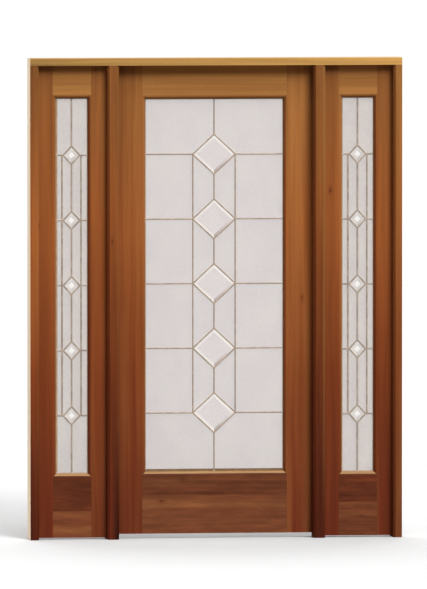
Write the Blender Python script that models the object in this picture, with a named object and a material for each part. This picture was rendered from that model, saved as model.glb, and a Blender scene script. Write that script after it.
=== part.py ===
"""Entrance door with two fixed sidelights in one timber frame, all three with leaded glass.

Metres, +Z up. The origin is the centre of the head's top face. The outside faces -Y, the room is at
+Y, and the door is hung on its left stile and swings into the room.
"""

import math

import bmesh
import bpy

OBJECT_NAME = "decorative_door"

# Fits
TOUCH = 0.0003
DOOR_CLEARANCE = 0.0032
DOOR_STOP_GAP = 0.001
DOOR_BOTTOM_GAP = 0.020
SIDELIGHT_BOTTOM_GAP = 0.007

# Frame
FRAME_DEPTH = 0.116
HEAD_THICKNESS = 0.032
JAMB_THICKNESS = 0.038
MULLION_WIDTH = 0.0508
REBATE_DEPTH = 0.0127
FRAME_CHAMFER = 0.0095
SIDELIGHT_RECESS = 0.048

# Door leaf
DOOR_WIDTH = 0.8636
DOOR_HEIGHT = 2.032
SASH_THICKNESS = 0.0445
DOOR_STILE = 0.117
DOOR_TOP_RAIL = 0.1405
DOOR_BOTTOM_RAIL = 0.254

# Sidelights
SIDELIGHT_OPENING = 0.2965
SIDELIGHT_STILE = 0.0769
SIDELIGHT_TOP_RAIL = 0.139
SIDELIGHT_BOTTOM_RAIL = 0.262

# Moulding on the sash edges, and the rebate that holds the leaded panel
STICKING_WIDTH = 0.0138
STICKING_QUIRK = 0.0015
STICKING_DROP = 0.0110
STICKING_STEPS = 4
GLASS_SEAT = 0.0175
PANEL_LAP = 0.008
PANEL_PLAY = 0.0005
BEAD_SPLAY = 0.005
BEAD_SPLAY_START = 0.008

# Leaded glass
GLASS_THICKNESS = 0.0034
CAME_DEPTH = 0.0064
CAME_WIDTH = 0.0056
CAME_HEART = 0.0016
BORDER_CAME_WIDTH = 0.006
BORDER_CAME_HEART = 0.0015
DIAMOND_ROWS = 5
DOOR_ROW_PITCH = 0.2792
DOOR_ROW_LIFT = 0.006
DOOR_DIAMOND_WIDTH = 0.1844
DOOR_DIAMOND_HEIGHT = 0.171
DOOR_LINE_OFFSET = DOOR_DIAMOND_WIDTH / 2
DOOR_BEVEL_WIDTH = 0.011
SIDELIGHT_ROW_PITCH = 0.2808
SIDELIGHT_ROW_LIFT = 0.0025
SIDELIGHT_DIAMOND_WIDTH = 0.072
SIDELIGHT_DIAMOND_HEIGHT = 0.078
SIDELIGHT_LINE_OFFSET = 0.0412
SIDELIGHT_BEVEL_WIDTH = 0.012
BEVEL_RISE = 0.0012
JEWEL_RISE = 0.0008
JEWEL_PLAY = 0.0006

# Butt hinges
HINGE_COUNT = 3
HINGE_HEIGHT = 0.1016
HINGE_FROM_TOP = 0.178
HINGE_FROM_BOTTOM = 0.254
HINGE_LEAF_WIDTH = 0.032
HINGE_LEAF_THICKNESS = 0.0023
HINGE_KNUCKLES = 5
HINGE_KNUCKLE_GAP = 0.0004
HINGE_KNUCKLE_RADIUS = 0.0056
HINGE_PIN_RADIUS = 0.0031
HINGE_PIN_PLAY = 0.0006
HINGE_PROUD = 0.001
HINGE_PIN_CAP = 0.003
HINGE_SIDES = 20

CUT_MARGIN = 0.004

# Levels and faces that follow from the sizes above
FRONT = -FRAME_DEPTH / 2
BACK = FRAME_DEPTH / 2
HEAD_UNDERSIDE = -HEAD_THICKNESS
REBATE_TOP = HEAD_UNDERSIDE + REBATE_DEPTH
DOOR_TOP = REBATE_TOP - DOOR_CLEARANCE
DOOR_BOTTOM = DOOR_TOP - DOOR_HEIGHT
FEET = DOOR_BOTTOM - DOOR_BOTTOM_GAP
DOOR_FRONT = BACK - SASH_THICKNESS
DOORWAY_HALF = DOOR_WIDTH / 2 + DOOR_CLEARANCE - REBATE_DEPTH
MULLION_OUTER = DOORWAY_HALF + MULLION_WIDTH
JAMB_INNER = MULLION_OUTER + SIDELIGHT_OPENING
JAMB_OUTER = JAMB_INNER + JAMB_THICKNESS
SIDELIGHT_CENTRE = (MULLION_OUTER + JAMB_INNER) / 2
SIDELIGHT_WIDTH = SIDELIGHT_OPENING + 2 * (REBATE_DEPTH - TOUCH)
SIDELIGHT_TOP = REBATE_TOP - TOUCH
SIDELIGHT_BOTTOM = FEET + SIDELIGHT_BOTTOM_GAP
SIDELIGHT_FRONT = FRONT + SIDELIGHT_RECESS
GROOVE_FRONT = SIDELIGHT_FRONT - TOUCH
GROOVE_BACK = SIDELIGHT_FRONT + SASH_THICKNESS + TOUCH
HINGE_X = -DOOR_WIDTH / 2 - DOOR_CLEARANCE / 2
HINGE_Y = BACK + HINGE_PROUD + HINGE_KNUCKLE_RADIUS


def new_collection(name):
    """An empty collection in the scene."""
    collection = bpy.data.collections.new(name)
    bpy.context.scene.collection.children.link(collection)
    return collection


def new_material(name, colour, roughness, metallic=0.0, transmission=0.0):
    """A Principled material with plain values."""
    material = bpy.data.materials.new(name)
    material.use_nodes = True
    shader = material.node_tree.nodes["Principled BSDF"]
    shader.inputs["Base Color"].default_value = (*colour, 1.0)
    shader.inputs["Roughness"].default_value = roughness
    shader.inputs["Metallic"].default_value = metallic
    shader.inputs["Transmission Weight"].default_value = transmission
    return material


def add_object(name, mesh_data, collection, material=None):
    """Turns a bmesh into an object with outward faces."""
    bmesh.ops.recalc_face_normals(mesh_data, faces=mesh_data.faces[:])
    mesh = bpy.data.meshes.new(name)
    mesh_data.to_mesh(mesh)
    mesh_data.free()
    obj = bpy.data.objects.new(name, mesh)
    collection.objects.link(obj)
    if material:
        mesh.materials.append(material)
    return obj


def place(axis, a, b, along):
    """A point of an outline: (x, y) for an extrusion along Z, (z, y) along X and (x, z) along Y."""
    if axis == "Z":
        return (a, b, along)
    if axis == "X":
        return (along, b, a)
    return (a, along, b)


def prism(name, outline, axis, start, end, collection, material=None):
    """A flat outline extruded along one axis from start to end."""
    data = bmesh.new()
    face = data.faces.new([data.verts.new(place(axis, a, b, start)) for a, b in outline])
    grown = bmesh.ops.extrude_face_region(data, geom=[face])
    moved = [item for item in grown["geom"] if isinstance(item, bmesh.types.BMVert)]
    bmesh.ops.translate(data, verts=moved, vec=place(axis, 0.0, 0.0, end - start))
    return add_object(name, data, collection, material)


def box(name, low, high, collection, material=None):
    """A rectangular block between two corners."""
    data = bmesh.new()
    bmesh.ops.create_cube(data, size=1.0)
    size = [h - l for l, h in zip(low, high)]
    centre = [(h + l) / 2 for l, h in zip(low, high)]
    bmesh.ops.scale(data, verts=data.verts[:], vec=size)
    bmesh.ops.translate(data, verts=data.verts[:], vec=centre)
    return add_object(name, data, collection, material)


def tapered_block(name, near, far, near_y, far_y, collection):
    """A block that narrows along Y. near and far are its sections as (x low, x high, z low, z high)."""
    data = bmesh.new()
    bmesh.ops.create_cube(data, size=1.0)
    for vert in data.verts:
        section, y = (near, near_y) if vert.co.y < 0 else (far, far_y)
        vert.co = (section[0 if vert.co.x < 0 else 1], y, section[2 if vert.co.z < 0 else 3])
    return add_object(name, data, collection)


def cylinder(name, radius, sides, centre, low, high, collection, material=None):
    """An upright cylinder."""
    data = bmesh.new()
    bmesh.ops.create_cone(
        data, cap_ends=True, segments=sides, radius1=radius, radius2=radius, depth=high - low
    )
    bmesh.ops.translate(data, verts=data.verts[:], vec=(*centre, (low + high) / 2))
    return add_object(name, data, collection, material)


def as_cutter(obj):
    """Keeps a helper out of the render."""
    obj.hide_render = True
    obj.display_type = "WIRE"
    return obj


def boolean(obj, helper, operation="DIFFERENCE"):
    """Adds an exact Boolean with one object, or with every object of a collection."""
    modifier = obj.modifiers.new(helper.name, "BOOLEAN")
    modifier.operation = operation
    modifier.solver = "EXACT"
    if isinstance(helper, bpy.types.Collection):
        modifier.operand_type = "COLLECTION"
        modifier.collection = helper
    else:
        modifier.object = as_cutter(helper)


def inset_outline(points, distances):
    """Moves each edge of a convex outline inwards by its own distance. Points run anticlockwise."""
    lines = []
    for index, (x0, y0) in enumerate(points):
        x1, y1 = points[(index + 1) % len(points)]
        length = math.hypot(x1 - x0, y1 - y0)
        normal_x, normal_y = (y0 - y1) / length, (x1 - x0) / length
        lines.append((normal_x, normal_y, normal_x * x0 + normal_y * y0 + distances[index]))
    inset = []
    for index, (a1, b1, c1) in enumerate(lines):
        a0, b0, c0 = lines[index - 1]
        turn = a0 * b1 - a1 * b0
        inset.append(((c0 * b1 - c1 * b0) / turn, (a0 * c1 - a1 * c0) / turn))
    return inset


def frame_section(faces):
    """The plan of a jamb or mullion whose low-X and high-X faces are plain, grooved or rebated."""
    (low_x, low_kind), (high_x, high_kind) = faces
    cuts = {"grooved": (GROOVE_FRONT, GROOVE_BACK), "rebated": (DOOR_FRONT - DOOR_STOP_GAP, BACK)}

    def side(x, kind, inward):
        """The points of one face from front to back."""
        if kind == "plain":
            return [(x, FRONT), (x, BACK)]
        start, end = cuts[kind]
        points = [(x, FRONT), (x, start), (x + inward * REBATE_DEPTH, start)]
        points.append((x + inward * REBATE_DEPTH, end))
        return points + ([(x, end), (x, BACK)] if kind == "grooved" else [])

    return side(high_x, high_kind, -1) + side(low_x, low_kind, 1)[::-1]


def opening_cutters(collection):
    """One tapered block per opening: it chamfers the front arrises of the uprights up to the head."""
    low = FEET - CUT_MARGIN - FRAME_CHAMFER
    spans = {
        "doorway": (-DOORWAY_HALF, DOORWAY_HALF),
        "left_opening": (-JAMB_INNER, -MULLION_OUTER),
        "right_opening": (MULLION_OUTER, JAMB_INNER),
    }
    grow = FRAME_CHAMFER + CUT_MARGIN
    for name, (x0, x1) in spans.items():
        near = (x0 - grow, x1 + grow, low, HEAD_UNDERSIDE + grow)
        far = (x0 + CUT_MARGIN, x1 - CUT_MARGIN, low, HEAD_UNDERSIDE - CUT_MARGIN)
        near_y = FRONT - CUT_MARGIN
        far_y = FRONT + FRAME_CHAMFER + CUT_MARGIN
        as_cutter(tapered_block(f"{name}_chamfer", near, far, near_y, far_y, collection))


def build_frame(parts, wood):
    """Head over the full width, two jambs and two mullions under it."""
    chamfers = new_collection("frame_chamfers")
    opening_cutters(chamfers)
    head = box("head_jamb", (-JAMB_OUTER, FRONT, HEAD_UNDERSIDE), (JAMB_OUTER, BACK, 0), parts, wood)
    uprights = {
        "left_jamb": ((-JAMB_OUTER, "plain"), (-JAMB_INNER, "grooved")),
        "left_mullion": ((-MULLION_OUTER, "grooved"), (-DOORWAY_HALF, "rebated")),
        "right_mullion": ((DOORWAY_HALF, "rebated"), (MULLION_OUTER, "grooved")),
        "right_jamb": ((JAMB_INNER, "grooved"), (JAMB_OUTER, "plain")),
    }
    pieces = {}
    top = HEAD_UNDERSIDE - TOUCH
    for name, faces in uprights.items():
        pieces[name] = prism(name, frame_section(faces), "Z", FEET, top, parts, wood)
        boolean(pieces[name], chamfers)
    pieces["head_jamb"] = head

    cutters = bpy.data.collections["cutters"]
    below = HEAD_UNDERSIDE - CUT_MARGIN
    rebate_half = DOORWAY_HALF + REBATE_DEPTH
    boolean(
        head,
        box(
            "head_door_rebate",
            (-rebate_half, DOOR_FRONT - DOOR_STOP_GAP, below),
            (rebate_half, BACK + CUT_MARGIN, REBATE_TOP),
            cutters,
        ),
    )
    for side, sign in (("left", -1), ("right", 1)):
        ends = sorted((sign * (MULLION_OUTER - REBATE_DEPTH), sign * (JAMB_INNER + REBATE_DEPTH)))
        boolean(
            head,
            box(
                f"head_{side}_groove",
                (ends[0], GROOVE_FRONT, below),
                (ends[1], GROOVE_BACK, REBATE_TOP),
                cutters,
            ),
        )
    return pieces


def sash_profile(width):
    """Across a stile or rail, from its outer edge: (distance across, depth behind the face)."""
    sight = width + STICKING_WIDTH
    points = [(0.0, 0.0), (width, 0.0)]
    for step in range(STICKING_STEPS + 1):
        angle = math.pi / 2 * step / STICKING_STEPS
        across = width + STICKING_WIDTH * math.sin(angle)
        depth = STICKING_QUIRK + (STICKING_DROP - STICKING_QUIRK) * (1 - math.cos(angle))
        points.append((across, depth))
    rebate = sight - PANEL_LAP - PANEL_PLAY
    points += [(sight, GLASS_SEAT), (rebate, GLASS_SEAT), (rebate, SASH_THICKNESS)]
    points.append((0.0, SASH_THICKNESS))
    return points


def build_sash(name, centre, width, top, bottom, front, stile, top_rail, bottom_rail, parts, wood):
    """Two full-height stiles with two rails between them, and the moulding mitred at the corners.

    It returns the pieces and the sight opening as (x centre, half width, z low, z high).
    """
    cutters = bpy.data.collections["cutters"]
    left, right = centre - width / 2, centre + width / 2
    inner_left, inner_right = left + stile, right - stile
    inner_top, inner_bottom = top - top_rail, bottom + bottom_rail
    across = sash_profile(stile)
    rails = {"top": (top, -1, sash_profile(top_rail)), "bottom": (bottom, 1, sash_profile(bottom_rail))}
    pieces = {}
    for side, edge, sign in (("left", left, 1), ("right", right, -1)):
        outline = [(edge + sign * u, front + v) for u, v in across]
        piece = f"{name}_{side}_stile"
        pieces[piece] = prism(piece, outline, "Z", bottom, top, parts, wood)
    for level, (edge, sign, profile) in rails.items():
        outline = [(edge + sign * u, front + v) for u, v in profile]
        piece = f"{name}_{level}_rail"
        ends = (inner_left + TOUCH, inner_right - TOUCH)
        pieces[piece] = prism(piece, outline, "X", *ends, parts, wood)

    reach = STICKING_WIDTH + CUT_MARGIN
    depth = (front - CUT_MARGIN, front + SASH_THICKNESS + CUT_MARGIN)
    slack = TOUCH * math.sqrt(2)
    for side, x0, sx in (("left", inner_left, 1), ("right", inner_right, -1)):
        for level, z0, sz, edge in (("top", inner_top, 1, top), ("bottom", inner_bottom, -1, bottom)):
            beyond = edge + sz * CUT_MARGIN
            stile_cut = [
                (x0, z0 - sz * slack),
                (x0 + sx * reach, z0 - sz * (slack + reach)),
                (x0 + sx * reach, beyond),
                (x0, beyond),
            ]
            rail_cut = [
                (x0 - sx * CUT_MARGIN, z0 + sz * CUT_MARGIN),
                (x0 - sx * CUT_MARGIN, z0 - sz * reach),
                (x0 + sx * reach, z0 - sz * reach),
            ]
            for piece, outline in (("stile", stile_cut), ("rail", rail_cut)):
                cutter = prism(f"{name}_{side}_{level}_{piece}_mitre", outline, "Y", *depth, cutters)
                owner = f"{name}_{side}_stile" if piece == "stile" else f"{name}_{level}_rail"
                boolean(pieces[owner], cutter)
    sight = (
        centre,
        width / 2 - stile - STICKING_WIDTH,
        inner_bottom + STICKING_WIDTH,
        inner_top - STICKING_WIDTH,
    )
    return pieces, sight


def build_bead(name, sight, front, parts, wood):
    """Four mitred glazing beads, glued into one ring behind the leaded panel, splayed to the room."""
    centre, half, low, high = sight
    cutters = bpy.data.collections["cutters"]
    outer = PANEL_LAP + PANEL_PLAY - TOUCH
    start = front + GLASS_SEAT + TOUCH + CAME_DEPTH + TOUCH
    end = front + SASH_THICKNESS
    ring = box(
        name,
        (centre - half - outer, start, low - outer),
        (centre + half + outer, end, high + outer),
        parts,
        wood,
    )
    hole = box(
        f"{name}_hole",
        (centre - half, start - CUT_MARGIN, low),
        (centre + half, end + CUT_MARGIN, high),
        cutters,
    )
    slope = BEAD_SPLAY / (end - start - BEAD_SPLAY_START)
    near_grow = -slope * CUT_MARGIN
    far_grow = BEAD_SPLAY + slope * CUT_MARGIN
    sections = [
        (centre - half - grow, centre + half + grow, low - grow, high + grow)
        for grow in (near_grow, far_grow)
    ]
    near_y = start + BEAD_SPLAY_START - CUT_MARGIN
    splay = tapered_block(f"{name}_splay", *sections, near_y, end + CUT_MARGIN, cutters)
    boolean(ring, hole)
    boolean(ring, splay)
    return ring


def pane_outlines(sight, pitch, lift, diamond_width, diamond_height, line_offset):
    """Outlines of every piece of glass, on the cames' centre-lines, as name: (points, edge kinds).

    A row of diamonds stands on the centre-line, its middle lifted a little above the panel's. A line
    runs from each diamond to both sides of the panel, the centre-line joins the diamonds, and two
    outer lines join the first row to the last.
    Points run anticlockwise as seen from the front, and a kind is came or border.
    """
    centre, half, low, high = sight
    edge = half + PANEL_LAP
    low, high = low - PANEL_LAP, high + PANEL_LAP
    middle = (low + high) / 2 + lift
    corner, rise = diamond_width / 2, diamond_height / 2
    rows = [middle + pitch * ((DIAMOND_ROWS - 1) / 2 - row) for row in range(DIAMOND_ROWS)]
    outlines = {}
    for number, z in enumerate(rows, 1):
        points = [(corner, z), (0.0, z + rise), (-corner, z), (0.0, z - rise)]
        outlines[f"diamond_{number}"] = (points, ["came"] * len(points))
    for side, sign in (("left", -1), ("right", 1)):
        for level, z, outer_z, sz in (("top", rows[0], high, 1), ("bottom", rows[-1], low, -1)):
            points = [(0.0, z + sz * rise), (0.0, outer_z), (sign * edge, outer_z), (sign * edge, z)]
            points.append((sign * corner, z))
            outlines[f"{level}_{side}"] = (points, ["came", "border", "border", "came", "came"])
        for number, (upper, lower) in enumerate(zip(rows, rows[1:]), 1):
            line = sign * line_offset
            outer = [(line, upper), (sign * edge, upper), (sign * edge, lower), (line, lower)]
            outlines[f"outer_{side}_{number}"] = (outer, ["came", "border", "came", "came"])
            inner = [(line, upper), (line, lower)]
            if line_offset > corner:
                inner.append((sign * corner, lower))
            inner += [(0.0, lower + rise), (0.0, upper - rise)]
            if line_offset > corner:
                inner.append((sign * corner, upper))
            outlines[f"inner_{side}_{number}"] = (inner, ["came"] * len(inner))
    return {name: turned(centre, *outline) for name, outline in outlines.items()}


def turned(centre, points, kinds):
    """Moves an outline to its panel and makes it run anticlockwise, with its edges' kinds."""
    area = sum(x0 * y1 - x1 * y0 for (x0, y0), (x1, y1) in zip(points, points[1:] + points[:1]))
    if area < 0:
        points = points[::-1]
        kinds = kinds[-2::-1] + kinds[-1:]
    return [(x + centre, z) for x, z in points], kinds


def inset_pane(outline, came, border):
    """An outline moved in by one distance at cames and another at the panel's border."""
    points, kinds = outline
    return inset_outline(points, [came if kind == "came" else border for kind in kinds])


def panel_slab(name, sight, front, parts, material):
    """The plain block that a came lattice is cut from."""
    centre, half, low, high = sight
    start = front + GLASS_SEAT + TOUCH
    return box(
        name,
        (centre - half - PANEL_LAP, start, low - PANEL_LAP),
        (centre + half + PANEL_LAP, start + CAME_DEPTH, high + PANEL_LAP),
        parts,
        material,
    )


def bevelled_glass(name, outline, near_y, far_y, rise, bevel, collection, material=None):
    """A piece of glass with a bevelled, raised centre on its outer face."""
    data = bmesh.new()
    face = data.faces.new([data.verts.new((x, far_y, z)) for x, z in outline])
    grown = bmesh.ops.extrude_face_region(data, geom=[face])
    moved = [item for item in grown["geom"] if isinstance(item, bmesh.types.BMVert)]
    bmesh.ops.translate(data, verts=moved, vec=(0, near_y - far_y, 0))
    bmesh.ops.recalc_face_normals(data, faces=data.faces[:])
    outer = [item for item in grown["geom"] if isinstance(item, bmesh.types.BMFace)]
    bmesh.ops.inset_individual(data, faces=outer, thickness=bevel, depth=rise, use_even_offset=True)
    return add_object(name, data, collection, material)


def build_door_panel(sight, front, parts, metal, textured, clear):
    """A soldered came lattice with a separate piece of glass in each of its spaces."""
    pieces = {"door_cames": panel_slab("door_cames", sight, front, parts, metal)}
    daylights = new_collection("door_came_daylights")
    channels = new_collection("door_came_channels")
    middle = front + GLASS_SEAT + TOUCH + CAME_DEPTH / 2
    channel = GLASS_THICKNESS / 2 + TOUCH
    outlines = pane_outlines(
        sight,
        DOOR_ROW_PITCH,
        DOOR_ROW_LIFT,
        DOOR_DIAMOND_WIDTH,
        DOOR_DIAMOND_HEIGHT,
        DOOR_LINE_OFFSET,
    )
    through = (middle - CAME_DEPTH, middle + CAME_DEPTH)
    for name, outline in outlines.items():
        daylight = inset_pane(outline, CAME_WIDTH / 2, BORDER_CAME_WIDTH)
        as_cutter(prism(f"door_{name}_daylight", daylight, "Y", *through, daylights))
        seat = inset_pane(outline, CAME_HEART / 2, BORDER_CAME_HEART)
        ends = (middle - channel, middle + channel)
        as_cutter(prism(f"door_{name}_channel", seat, "Y", *ends, channels))
        glass = inset_pane(outline, CAME_HEART / 2 + TOUCH, BORDER_CAME_HEART + TOUCH)
        faces = (middle - GLASS_THICKNESS / 2, middle + GLASS_THICKNESS / 2)
        piece = f"door_glass_{name}"
        if name.startswith("diamond"):
            bevel = DOOR_BEVEL_WIDTH + CAME_WIDTH / 2 - CAME_HEART / 2
            pieces[piece] = bevelled_diamond(piece, glass, daylight, faces, bevel, parts, clear)
        else:
            pieces[piece] = prism(piece, glass, "Y", *faces, parts, textured)
    boolean(pieces["door_cames"], daylights)
    boolean(pieces["door_cames"], channels)
    return pieces


def bevelled_diamond(name, glass, daylight, faces, bevel, parts, material):
    """A flat-edged piece of glass whose bevelled centre rises through the space between the cames."""
    near, far = faces
    cutters = bpy.data.collections["cutters"]
    body = prism(name, glass, "Y", near, far, parts, material)
    edges = [TOUCH] * len(daylight)
    raised = inset_outline(daylight, edges)
    boss = bevelled_glass(
        f"{name}_boss", raised, near - TOUCH, far - GLASS_THICKNESS / 2, BEVEL_RISE, bevel, cutters
    )
    boolean(body, boss, "UNION")
    return body


def build_sidelight_panel(name, sight, front, parts, metal):
    """A small leaded panel whose cames and glass are one piece: glass fills the lattice's spaces."""
    panel = panel_slab(name, sight, front, parts, metal)
    pockets = new_collection(f"{name}_pockets")
    jewels = new_collection(f"{name}_jewels")
    start = front + GLASS_SEAT + TOUCH
    middle = start + CAME_DEPTH / 2
    outlines = pane_outlines(
        sight,
        SIDELIGHT_ROW_PITCH,
        SIDELIGHT_ROW_LIFT,
        SIDELIGHT_DIAMOND_WIDTH,
        SIDELIGHT_DIAMOND_HEIGHT,
        SIDELIGHT_LINE_OFFSET,
    )
    near = middle - GLASS_THICKNESS / 2
    far = middle + GLASS_THICKNESS / 2
    for piece, outline in outlines.items():
        daylight = inset_pane(outline, CAME_WIDTH / 2, BORDER_CAME_WIDTH)
        front_ends = (start - CUT_MARGIN, near)
        back_ends = (far, start + CAME_DEPTH + CUT_MARGIN)
        for face, ends in (("front", front_ends), ("back", back_ends)):
            as_cutter(prism(f"{name}_{piece}_{face}", daylight, "Y", *ends, pockets))
        if piece.startswith("diamond"):
            raised = inset_outline(daylight, [JEWEL_PLAY] * len(daylight))
            jewel = bevelled_glass(
                f"{name}_{piece}_jewel",
                raised,
                near - JEWEL_RISE / 2,
                middle,
                JEWEL_RISE,
                SIDELIGHT_BEVEL_WIDTH,
                jewels,
            )
            as_cutter(jewel)
    boolean(panel, pockets)
    boolean(panel, jewels, "UNION")
    return panel


def hinge_levels():
    """The middle of each hinge, evenly spaced from the top one to the bottom one."""
    top = DOOR_TOP - HINGE_FROM_TOP - HINGE_HEIGHT / 2
    bottom = DOOR_BOTTOM + HINGE_FROM_BOTTOM + HINGE_HEIGHT / 2
    steps = max(HINGE_COUNT - 1, 1)
    return [top + (bottom - top) * number / steps for number in range(HINGE_COUNT)]


def build_hinge(number, level, frame_piece, door_piece, pivot, parts, metal):
    """A butt hinge let into the mullion and the hanging stile, with its pin fixed in the frame leaf."""
    cutters = bpy.data.collections["cutters"]
    name = ("top", "middle", "bottom")[number] if HINGE_COUNT == 3 else f"number_{number + 1}"
    low, high = level - HINGE_HEIGHT / 2, level + HINGE_HEIGHT / 2
    axis = (HINGE_X, HINGE_Y)
    flush = DOOR_CLEARANCE / 2
    knuckle = HINGE_HEIGHT / HINGE_KNUCKLES
    plate_start = BACK - HINGE_LEAF_WIDTH
    plate_end = HINGE_Y - HINGE_KNUCKLE_RADIUS - TOUCH
    leaves = {}
    for owner, sign, first in (("frame", -1, 0), ("door", 1, 1)):
        leaf = f"{name}_hinge_{owner}_leaf"
        xs = sorted((HINGE_X + sign * flush, HINGE_X + sign * (flush + HINGE_LEAF_THICKNESS)))
        plate = box(leaf, (xs[0], plate_start, low), (xs[1], plate_end, high), parts, metal)
        for index in range(first, HINGE_KNUCKLES, 2):
            start = low + index * knuckle + HINGE_KNUCKLE_GAP / 2
            end = low + (index + 1) * knuckle - HINGE_KNUCKLE_GAP / 2
            tab = box(
                f"{leaf}_tab_{index}",
                (xs[0] + TOUCH, plate_end - HINGE_KNUCKLE_RADIUS, start + TOUCH),
                (xs[1] - TOUCH, HINGE_Y - HINGE_PIN_RADIUS - HINGE_PIN_PLAY, end - TOUCH),
                cutters,
            )
            barrel = cylinder(
                f"{leaf}_barrel_{index}", HINGE_KNUCKLE_RADIUS, HINGE_SIDES, axis, start, end, cutters
            )
            boolean(plate, tab, "UNION")
            boolean(plate, barrel, "UNION")
        leaves[owner] = plate
    pin_radius = HINGE_PIN_RADIUS
    bore = cylinder(
        f"{name}_hinge_bore",
        pin_radius + HINGE_PIN_PLAY,
        HINGE_SIDES,
        axis,
        low - CUT_MARGIN,
        high + CUT_MARGIN,
        cutters,
    )
    pin = cylinder(
        f"{name}_hinge_pin",
        pin_radius,
        HINGE_SIDES,
        axis,
        low - HINGE_PIN_CAP,
        high + HINGE_PIN_CAP,
        cutters,
    )
    boolean(leaves["door"], bore)
    boolean(leaves["frame"], pin, "UNION")
    for owner, sign, wood in (("frame", -1, frame_piece), ("door", 1, door_piece)):
        deep = flush + HINGE_LEAF_THICKNESS + TOUCH
        xs = sorted((HINGE_X, HINGE_X + sign * deep))
        mortise = box(
            f"{name}_hinge_{owner}_mortise",
            (xs[0], plate_start - TOUCH, low - TOUCH),
            (xs[1], BACK + CUT_MARGIN, high + TOUCH),
            cutters,
        )
        boolean(wood, mortise)
    leaves["door"].parent = pivot
    leaves["door"].matrix_parent_inverse = pivot.matrix_world.inverted()


def main():
    """Builds the whole unit."""
    for obj in list(bpy.data.objects):
        bpy.data.objects.remove(obj, do_unlink=True)
    parts = new_collection(OBJECT_NAME)
    new_collection("cutters")

    wood = new_material("stained hardwood", (0.23, 0.085, 0.028), 0.38)
    bead_wood = new_material("stained hardwood bead", (0.30, 0.12, 0.04), 0.40)
    came = new_material("antique brass came", (0.46, 0.37, 0.27), 0.40, metallic=1.0)
    brass = new_material("aged brass hinge", (0.55, 0.38, 0.16), 0.35, metallic=1.0)
    textured = new_material("textured obscure glass", (0.80, 0.77, 0.76), 0.45, transmission=0.4)
    clear = new_material("clear bevelled glass", (0.93, 0.94, 0.93), 0.03, transmission=0.9)

    frame_pieces = build_frame(parts, wood)

    door_pieces, door_sight = build_sash(
        "door",
        0.0,
        DOOR_WIDTH,
        DOOR_TOP,
        DOOR_BOTTOM,
        DOOR_FRONT,
        DOOR_STILE,
        DOOR_TOP_RAIL,
        DOOR_BOTTOM_RAIL,
        parts,
        wood,
    )
    door_nodes = list(door_pieces.values())
    door_nodes.append(build_bead("door_glazing_bead", door_sight, DOOR_FRONT, parts, bead_wood))
    door_nodes += build_door_panel(door_sight, DOOR_FRONT, parts, came, textured, clear).values()

    for side, sign in (("left", -1), ("right", 1)):
        name = f"{side}_sidelight"
        _, sight = build_sash(
            name,
            sign * SIDELIGHT_CENTRE,
            SIDELIGHT_WIDTH,
            SIDELIGHT_TOP,
            SIDELIGHT_BOTTOM,
            SIDELIGHT_FRONT,
            SIDELIGHT_STILE,
            SIDELIGHT_TOP_RAIL,
            SIDELIGHT_BOTTOM_RAIL,
            parts,
            wood,
        )
        build_bead(f"{name}_glazing_bead", sight, SIDELIGHT_FRONT, parts, bead_wood)
        build_sidelight_panel(f"{name}_leaded_panel", sight, SIDELIGHT_FRONT, parts, came)

    pivot = bpy.data.objects.new("door_pivot", None)
    pivot.location = (HINGE_X, HINGE_Y, 0.0)
    parts.objects.link(pivot)
    bpy.context.view_layer.update()
    for number, level in enumerate(hinge_levels()):
        mullion = frame_pieces["left_mullion"]
        stile = door_pieces["door_left_stile"]
        build_hinge(number, level, mullion, stile, pivot, parts, brass)
    for node in door_nodes:
        node.parent = pivot
        node.matrix_parent_inverse = pivot.matrix_world.inverted()


main()
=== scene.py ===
"""Looks of an entrance door with two sidelights: stained timber, leaded glass and brass hinges.

Metres, +Z up, outside at -Y. The origin is the centre of the head's top face.
"""

import logging
import math
from dataclasses import dataclass, field
from enum import Enum
from typing import Callable, Iterable, Optional, Union

import bmesh
import bpy
import numpy as np
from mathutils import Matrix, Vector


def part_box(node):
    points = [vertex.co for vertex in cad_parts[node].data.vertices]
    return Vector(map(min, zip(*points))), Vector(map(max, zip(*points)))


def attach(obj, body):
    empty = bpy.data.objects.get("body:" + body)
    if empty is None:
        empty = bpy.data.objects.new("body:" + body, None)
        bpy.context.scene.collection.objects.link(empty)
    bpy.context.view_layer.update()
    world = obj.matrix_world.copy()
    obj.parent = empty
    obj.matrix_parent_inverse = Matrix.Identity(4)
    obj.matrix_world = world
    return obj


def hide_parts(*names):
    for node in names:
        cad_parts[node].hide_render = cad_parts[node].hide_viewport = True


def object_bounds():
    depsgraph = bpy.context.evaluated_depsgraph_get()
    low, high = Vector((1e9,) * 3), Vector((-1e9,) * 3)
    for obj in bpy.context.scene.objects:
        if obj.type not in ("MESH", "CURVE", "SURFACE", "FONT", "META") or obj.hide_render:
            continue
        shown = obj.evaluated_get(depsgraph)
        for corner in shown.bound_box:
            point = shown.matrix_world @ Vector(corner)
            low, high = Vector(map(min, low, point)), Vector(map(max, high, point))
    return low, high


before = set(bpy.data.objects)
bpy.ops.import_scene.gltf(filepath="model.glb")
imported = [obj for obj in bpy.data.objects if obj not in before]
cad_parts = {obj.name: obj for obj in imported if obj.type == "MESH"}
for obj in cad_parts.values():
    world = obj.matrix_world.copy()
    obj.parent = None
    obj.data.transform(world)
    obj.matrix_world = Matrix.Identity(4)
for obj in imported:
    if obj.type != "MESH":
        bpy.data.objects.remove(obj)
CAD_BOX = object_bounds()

LOG = logging.getLogger("entrance_door")
Array = np.ndarray
Shape = tuple[Array, list]
Colour = tuple[float, float, float]
Socket = bpy.types.NodeSocket
Material = bpy.types.Material
Value = Union[float, tuple, Socket]

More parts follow.
